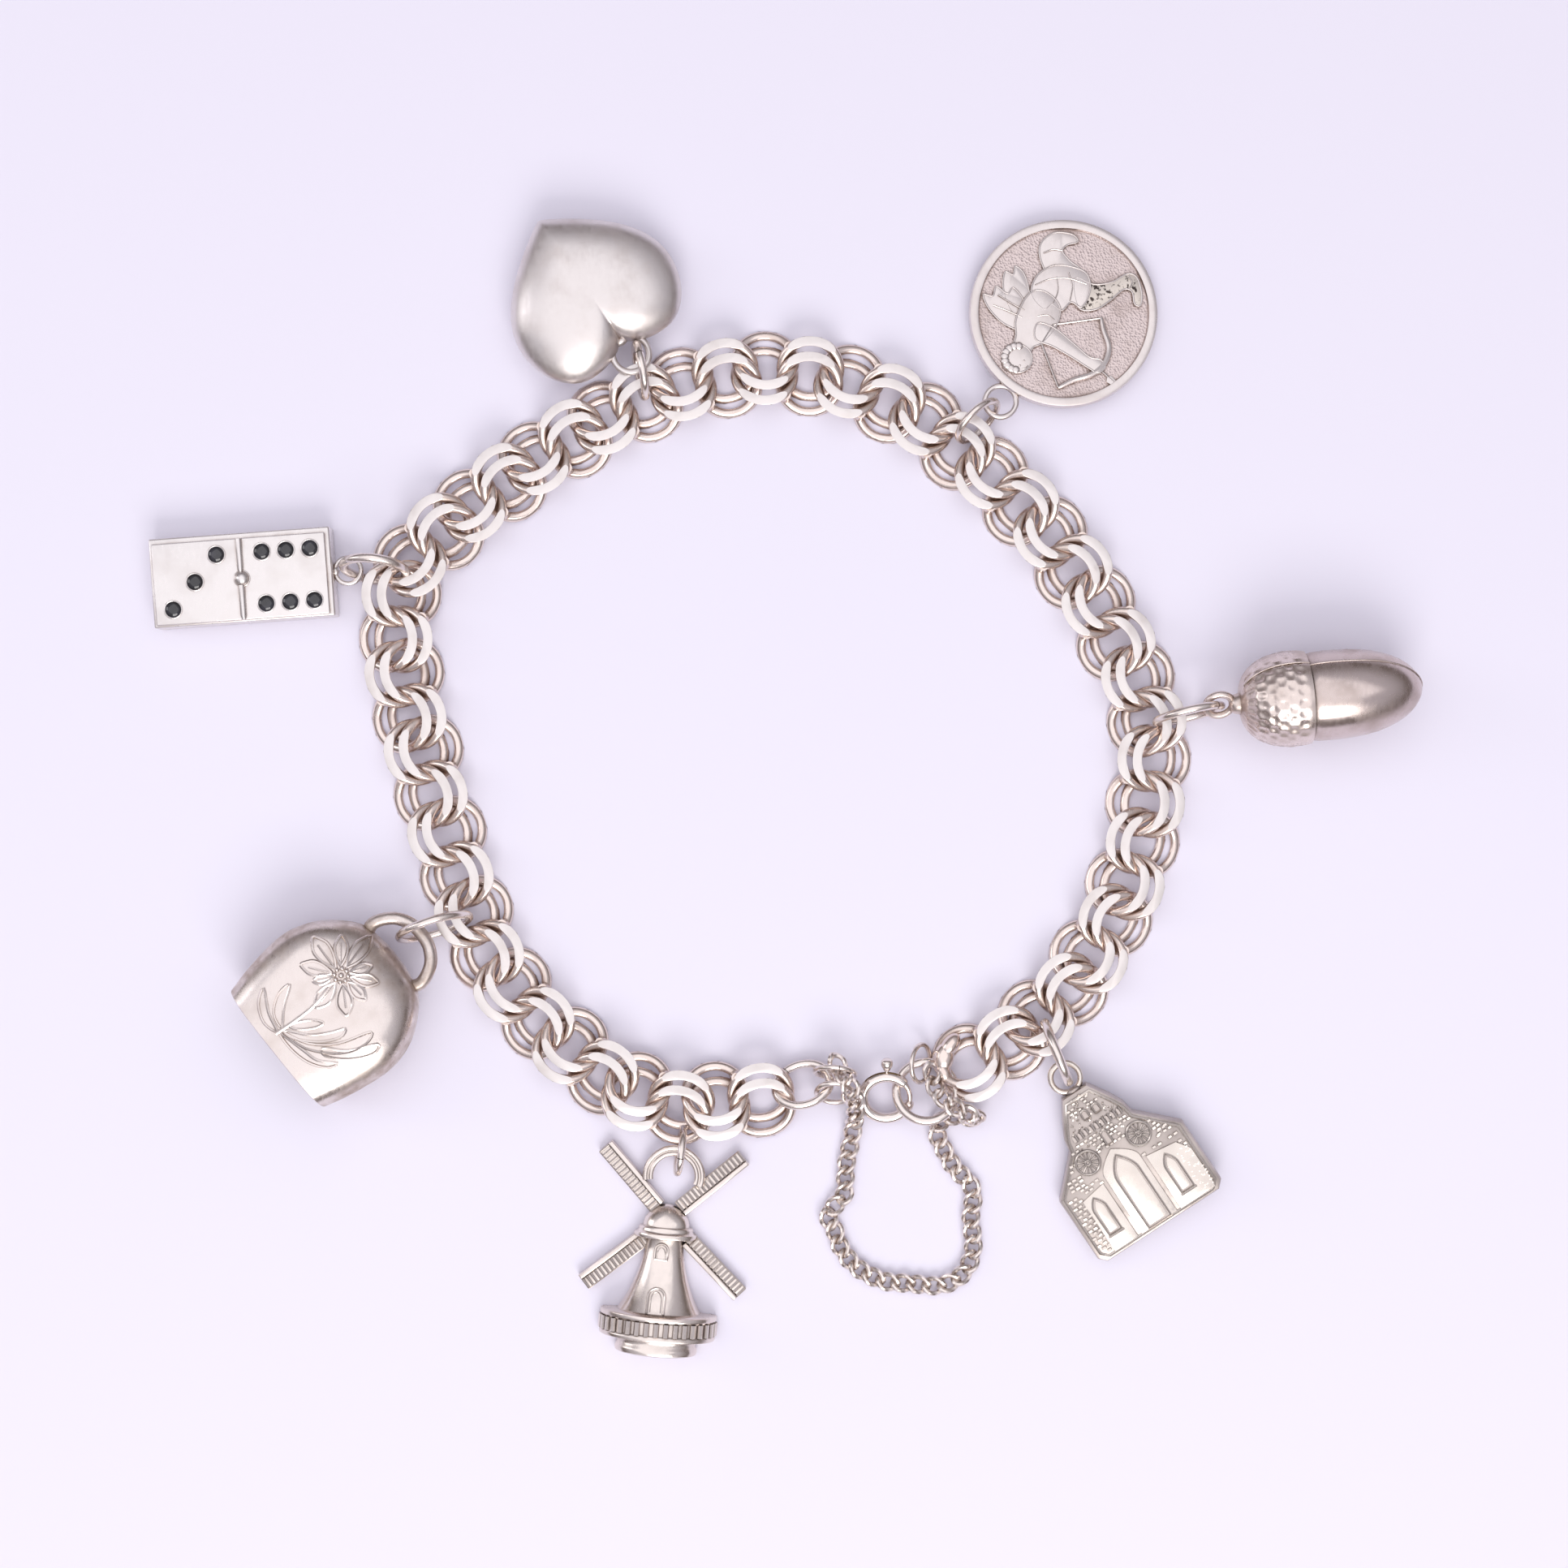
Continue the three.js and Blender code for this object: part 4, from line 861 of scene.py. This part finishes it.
# ---- Windmill ----
# A cast windmill in half relief with a flat back: domed cap, flared tower, ribbed gallery and
# foot. Four ribbed sails stand behind it and a double hoop on top takes its jump ring.
mill_silver = silver("mill_silver", clean=(0.82, 0.745, 0.695), tarnish=(0.21, 0.165, 0.14),
                     rough=0.2, blotch=0.5, crevice=0.6, gain=1.25, scratch=0.5)
tower = [(-8.45, 0), (-8.45, 3.15), (-8.35, 3.38), (-8.1, 3.45), (-7.85, 3.4), (-7.7, 3.28), (-7.4, 3.26),
         (-7.25, 3.35), (-7.12, 3.7), (-7.1, 4.6), (-7.02, 4.8), (-6.85, 4.86), (-6.65, 4.8),
         (-6.55, 4.66), (-5.55, 4.66), (-5.45, 4.82), (-5.25, 4.9), (-5.05, 4.86), (-4.97, 4.7),
         (-4.93, 3.7), (-4.9, 3.48), (-4.4, 3.16), (-3.7, 2.78), (-3.0, 2.48), (-2.2, 2.17),
         (-1.4, 1.92), (-0.6, 1.73), (0.2, 1.6), (1.0, 1.52), (1.12, 1.6), (1.14, 2.4), (1.22, 2.6),
         (1.4, 2.66), (1.56, 2.6), (1.66, 2.36), (1.8, 2.28), (1.95, 2.3), (2.08, 2.2), (2.14, 1.95),
         (2.4, 1.93), (2.8, 1.8), (3.2, 1.52), (3.55, 1.13), (3.8, 0.72), (3.94, 0.36), (3.98, 0)]
stand = (shift((0.1, 0, 0.5)) @ Matrix.Diagonal((1, 1, 0.68, 1))
         @ tilt(90, "Z"))
solid = bmesh.new()
bmesh.ops.transform(solid, matrix=stand, verts=add_turned(solid, tower, steps=96))
cut = bmesh.ops.bisect_plane(solid, geom=solid.verts[:] + solid.edges[:] + solid.faces[:],
                             plane_co=(0, 0, 0.02), plane_no=(0, 0, -1), clear_outer=True)
bmesh.ops.edgeloop_fill(solid, edges=[g for g in cut["geom_cut"] if isinstance(g, bmesh.types.BMEdge)])


def tower_skin(across, up, proud=0.0):
    """A point on the front of the tower, standing proud of it by a little."""
    for (low, thin), (high, thick) in zip(tower, tower[1:]):
        if low <= up <= high and high > low:
            radius = thin + (thick - thin) * (up - low) / (high - low)
    deep = math.sqrt(max(0.0, radius ** 2 - (across - 0.1) ** 2))
    return (across, up, 0.5 + 0.68 * deep + proud)


for rib in range(19):
    lean = math.radians(1 + rib * 9.9)
    x, z = 0.1 + 4.72 * math.cos(lean), 0.5 + 0.68 * 4.72 * math.sin(lean)
    if z > 0.12:
        add_wire(solid, [(x, -6.6, z), (x, -5.5, z)], 0.25, sides=8)
for left, right, base, spring, proud in ((-0.6, 0.45, -0.55, 0.2, 0.0), (-0.85, 0.55, -4.85, -3.55, 0.02)):
    middle, reach = (left + right) / 2, (right - left) / 2
    frame_line = [(left, base + (spring - base) * i / 4) for i in range(4)]
    frame_line += [(middle - reach * math.cos(math.radians(i * 20)),
                    spring + reach * math.sin(math.radians(i * 20))) for i in range(10)]
    frame_line += [(right, spring - (spring - base) * i / 4) for i in range(1, 5)]
    add_wire(solid, [tower_skin(x, y, proud) for x, y in frame_line], 0.11, sides=8, closed=base > -1)
    inner = [(middle + (x - middle) * 0.62, y + (0.1 if y < spring else -0.28)) for x, y in frame_line]
    add_wire(solid, [tower_skin(x, y, -0.02) for x, y in inner], 0.05, sides=6, closed=base > -1)
for turn, length, start_at in ((135.5, 8.0, 1.3), (43.7, 8.1, 1.3), (221.8, 8.8, 2.4), (-41.5, 8.7, 2.4)):
    along = shift((0.2, 2.75, 0)) @ tilt(turn, "Z")
    middle = (start_at + length) / 2
    long = length - start_at
    for y, wide, high, round_off in ((-0.5, 0.45, 0.9, 0.14), (0.22, 0.95, 0.68, 0.08)):
        made = bmesh.ops.create_cube(solid, size=1, matrix=along @ shift(
            (middle, y, high / 2)) @ Matrix.Diagonal((long, wide, high, 1)))["verts"]
        edges = list({e for v in made for e in v.link_edges if min(w.co.z for w in e.verts) > 0.1})
        bmesh.ops.bevel(solid, geom=edges, offset=round_off, segments=3, profile=0.5, material=-1,
                        affect="EDGES")
    ends = [along @ Vector((x, 0.68, 0.62)) for x in (start_at + 0.05, length - 0.05)]
    add_wire(solid, ends, 0.09, sides=6)
    ribs = int(long / 0.41)
    for rib in range(ribs + 1):
        x = start_at + 0.1 + (long - 0.2) * rib / ribs
        add_wire(solid, [along @ Vector((x, y, 0.68)) for y in (-0.25, 0.68)], 0.115, sides=6)
hoop = shift((0.38, 6.35, 0))
for radius, wire, height in ((2.38, 0.24, 0.86), (1.92, 0.22, 0.9), (2.15, 0.3, 0.72)):
    line = [hoop @ Vector((radius * math.cos(math.radians(t)), radius * math.sin(math.radians(t)),
                           height + 0.12 * math.sin(math.radians(max(0, t)))))
            for t in range(-16, 200, 9)]
    add_wire(solid, line, wire, sides=10)
finished("windmill", solid, charm_place(-10.1, -38.8, -5), [mill_silver], ["charm_windmill"],
         crease=38)

# ---- Cowbell ----
# A hollow cowbell bent from sheet silver, open at the mouth, with a round wire handle. Its front
# is chased with an edelweiss on a leafy stem. The edges have gone brown and the front is bright.
bell_across = (0.624, -0.782, 0)


def bell_grime(start, place):
    beside = start.node("ShaderNodeVectorMath", {"operation": "DOT_PRODUCT"},
                        {0: place, 1: bell_across}, out="Value")
    up = start.node("ShaderNodeVectorMath", {"operation": "DOT_PRODUCT"},
                    {0: place, 1: (0.782, 0.624, 0)}, out="Value")
    smears = start.node("ShaderNodeTexNoise", {}, {"Vector": place, "Scale": 800, "Detail": 6,
                                                   "Roughness": 0.7})
    sides = start.maths("ABSOLUTE", beside * 1000 + 9.05).between(4.2, 6.6)
    crown = (up * 1000 + 40.3).between(3.6, 6.0)
    return (sides * 0.75 + crown * 0.7) * (smears * 1.5 - 0.1)


bell_silver = silver("bell_silver", clean=(0.78, 0.71, 0.675), tarnish=(0.38, 0.29, 0.225),
                     rough=0.24, blotch=0.6, crevice=0.5, gain=0.9, scratch=0.7, grime=bell_grime)
bell_inside = silver("bell_inside", clean=(0.50, 0.42, 0.36), tarnish=(0.16, 0.12, 0.10),
                     rough=0.4, blotch=0.9, crevice=2.0, gain=1.4)
rows, length = smooth_line([(-5.55, 6.15, 3.3), (-3, 6.75, 3.42), (0.4, 7.1, 3.5), (3, 6.4, 3.2),
                            (4.9, 5.0, 2.5), (6.1, 3.5, 1.6), (6.6, 1.4, 0.7)], 36)
bell_rim = []
for index in range(96):
    lean = math.radians(index * 3.75)
    c, s = math.cos(lean), math.sin(lean)
    bell_rim.append(Vector((math.copysign(abs(c) ** 0.62, c), 0, math.copysign(abs(s) ** 0.62, s))))
middle = shift((-0.55, 0, 3.5))
solid = bmesh.new()


def skin(up, half_wide, half_deep, wall=0.0):
    return (middle @ shift((0, up, 0))
            @ Matrix.Diagonal((half_wide - wall, 1, half_deep - wall, 1)))


first = last = skin(*rows[0])
loop = mouth = add_outline(solid, [last @ p for p in bell_rim])
for row in rows[1:]:
    following = skin(*row)
    loop = grow_edges(solid, loop, following @ last.inverted())
    last = following
bmesh.ops.edgeloop_fill(solid, edges=loop)
last, loop = first, mouth
inner_rows = [(-5.62, *rows[0][1:], 0.1), (-5.68, *rows[0][1:], 0.3), (-5.62, *rows[0][1:], 0.5)]
inner_rows += [(*row, 0.6) for row in rows[1:30:2]]
for row in inner_rows:
    following = skin(*row)
    loop = grow_edges(solid, loop, following @ last.inverted())
    last = following
cap = bmesh.ops.edgeloop_fill(solid, edges=loop)["faces"]
for face in solid.faces:
    centre = middle.inverted() @ face.calc_center_median()
    if face.normal.dot(Vector((centre.x, 0, centre.z))) < -0.05 or face in cap:
        face.material_index = 1


def bell_skin(across, up, proud=0.0):
    """A point on the bell's front."""
    up = max(rows[0][0], min(rows[-1][0], up))
    for low, high in zip(rows, rows[1:]):
        if low[0] <= up <= high[0]:
            share = (up - low[0]) / (high[0] - low[0])
            wide, deep = (low[i] + (high[i] - low[i]) * share for i in (1, 2))
    beside = min(0.999, abs((across + 0.55) / wide))
    return (across, up, 3.5 + deep * (1 - beside ** 3.226) ** 0.31 + proud)


def chase(points, width, closed=False, per=16):
    """A raised line on the bell's front."""
    if closed:
        line = rounded(points, 4)
    else:
        line, length = smooth_line([(*p, 0) for p in points], per)
    add_wire(solid, [bell_skin(p[0], p[1], 0.0) for p in line], width, sides=6, closed=closed, flat=0.8)


def petal(x, y, turn, start_at, long, wide):
    """A pointed petal: a raised rim and a rib down its middle."""
    spin = shift((x, y, 0)) @ tilt(turn, "Z")
    shape = [(0, 0.1), (0.3, 0.75), (0.62, 0.95), (0.85, 0.55), (1, 0), (0.85, -0.55), (0.62, -0.95),
             (0.3, -0.75), (0, -0.1)]
    rim = [spin @ Vector((start_at + u * long, v * wide / 2, 0)) for u, v in shape]
    chase([(p.x, p.y) for p in rim], 0.14, closed=True)
    rib = [spin @ Vector((start_at + u * long, 0.04, 0)) for u in (0.05, 0.4, 0.75)]
    chase([(p.x, p.y) for p in rib], 0.1, per=6)


flower = (-1.9, 2.6)
for turn, long, wide in (
        (95, 3.0, 1.35), (57, 1.7, 0.9), (28, 2.2, 1.0), (-5, 2.0, 1.0), (-42, 2.5, 1.3),
        (-88, 2.5, 1.3), (-128, 1.5, 0.8), (168, 3.1, 1.4), (205, 2.6, 1.2), (132, 2.4, 1.1)):
    petal(*flower, turn + 11.4, 0.8, long, wide)
for x, y, _ in arc(0.55, 0, 315, 8, centre=flower):
    add_ball(solid, bell_skin(x, y, 0.04), 0.2, detail=2)
add_ball(solid, bell_skin(*flower, 0.05), 0.24, detail=2)
chase([(-1.75, 1.2), (-1.35, -0.6), (-1.35, -2.6), (-1.5, -4.5)], 0.17)
for leaf in ([(-1.4, -3.2), (-0.7, -1.7), (0.2, -0.9), (0.1, -1.7), (-0.7, -2.9)],
             [(-1.3, -3.8), (0.3, -2.4), (1.2, -0.9), (1.7, 0.2), (2.0, -0.6), (1.2, -2.2), (-0.3, -3.6)],
             [(-1.3, -4.0), (0.8, -2.9), (2.3, -1.0), (3.2, 1.6), (3.7, 0.6), (3.0, -1.4), (1.0, -3.3)],
             [(1.8, -2.2), (3.2, -0.8), (4.3, 1.4), (4.7, 0.6), (3.8, -1.2), (2.4, -2.5)],
             [(-1.3, -4.2), (0.9, -3.6), (2.3, -3.2), (3.5, -2.1), (3.2, -3.0), (1.9, -3.9), (0.2, -4.3)],
             [(-1.6, -3.8), (-2.8, -2.6), (-3.9, -1.1), (-3.9, -2.3), (-2.9, -3.6)],
             [(-1.6, -4.3), (-3.2, -3.9), (-5.0, -3.0), (-4.3, -4.1), (-2.8, -4.7)]):
    chase(leaf, 0.13, closed=True)
line, length = smooth_line([(-3.2, 5.6, 3.5), (-3.75, 6.8, 3.5), (-3.1, 8.3, 3.5), (-1.9, 9.15, 3.5),
                            (-0.6, 9.35, 3.5), (0.7, 9.15, 3.5), (1.9, 8.3, 3.5), (2.55, 6.8, 3.5),
                            (2.0, 5.6, 3.5)], 44)
add_wire(solid, line, 0.54, sides=18)
finished("cowbell", solid, charm_place(-36.8, -18.5, -51.4), [bell_silver, bell_inside],
         ["charm_bell"], crease=45)

# ---- Domino ----
# A silver domino: a thick frame with a scratched face plate let into it, a half-round bar with a
# round stud across the middle, and nine pips of domed black enamel.
domino_silver = silver("domino_silver", clean=(0.80, 0.765, 0.75), rough=0.3, blotch=0.3, crevice=0.3,
                       gain=1.3, scratch=1.4)
solid = bmesh.new()
for x, y, wide, deep, low, high, round_off in ((-0.37, -0.35, 15.0, 7.4, 0, 2.5, 0.16),
                                               (-0.43, -0.5, 14.35, 6.75, 2.3, 2.8, 0.1)):
    box = bmesh.ops.create_cube(solid, size=1, matrix=shift((x, y, (low + high) / 2))
                                @ Matrix.Diagonal((wide, deep, high - low, 1)))["verts"]
    bmesh.ops.bevel(solid, geom=list({e for v in box for e in v.link_edges}), offset=round_off,
                    segments=3, profile=0.5, material=-1, affect="EDGES")
for near, far in ((-3.82, -1.02), (0.08, 2.82)):
    add_wire(solid, [(-0.36, near, 2.8), (-0.36, near + 0.3, 2.84), (-0.36, far, 2.84)],
             [0.2, 0.27, 0.27], sides=12)
add_ball(solid, (-0.3, -0.48, 2.84), (0.6, 0.6, 0.5))
add_wire(solid, arc(0.63, 0, 345, 24, 2.8, (-0.3, -0.48)), 0.08, sides=8, closed=True)
pips = ((-2.28, 1.65), (-4.2, -0.48), (-6.15, -2.62), (1.48, 1.63), (3.47, 1.63), (5.46, 1.63),
        (1.56, -2.67), (3.55, -2.67), (5.54, -2.67))
for x, y in pips:
    add_wire(solid, arc(0.72, 0, 345, 24, 2.79, (x, y)), 0.07, sides=8, closed=True)
add_ring(solid, 1.09, 0.2, 0.2, shift((8.3, -0.35, 1.4)), steps=36, sides=14)
add_ball(solid, (7.25, -0.35, 1.4), (0.35, 0.4, 0.35))
domino_place = charm_place(-44.5, 17.6, 4.2)
finished("domino", solid, domino_place, [domino_silver], ["charm_domino"], crease=40)
enamel, start, link = new_finish("black_enamel", IOR=1.55, Coat_Weight=0.7, Coat_Roughness=0.03)
place = start.node("ShaderNodeTexCoord", out="Object")
smudge = start.node("ShaderNodeTexNoise", {}, {"Vector": place, "Scale": 900, "Detail": 4})
link("Base Color", smudge.between(0.4, 0.7).tint((0.006, 0.006, 0.009), (0.02, 0.02, 0.03)))
link("Roughness", smudge * 0.12 + 0.03)
solid = bmesh.new()
for x, y in pips:
    add_ball(solid, (x, y, 2.76), (0.69, 0.69, 0.34), detail=4)
finished("enamel_pips", solid, domino_place, [enamel], ["pip_%d" % n for n in range(1, 10)],
         crease=60)
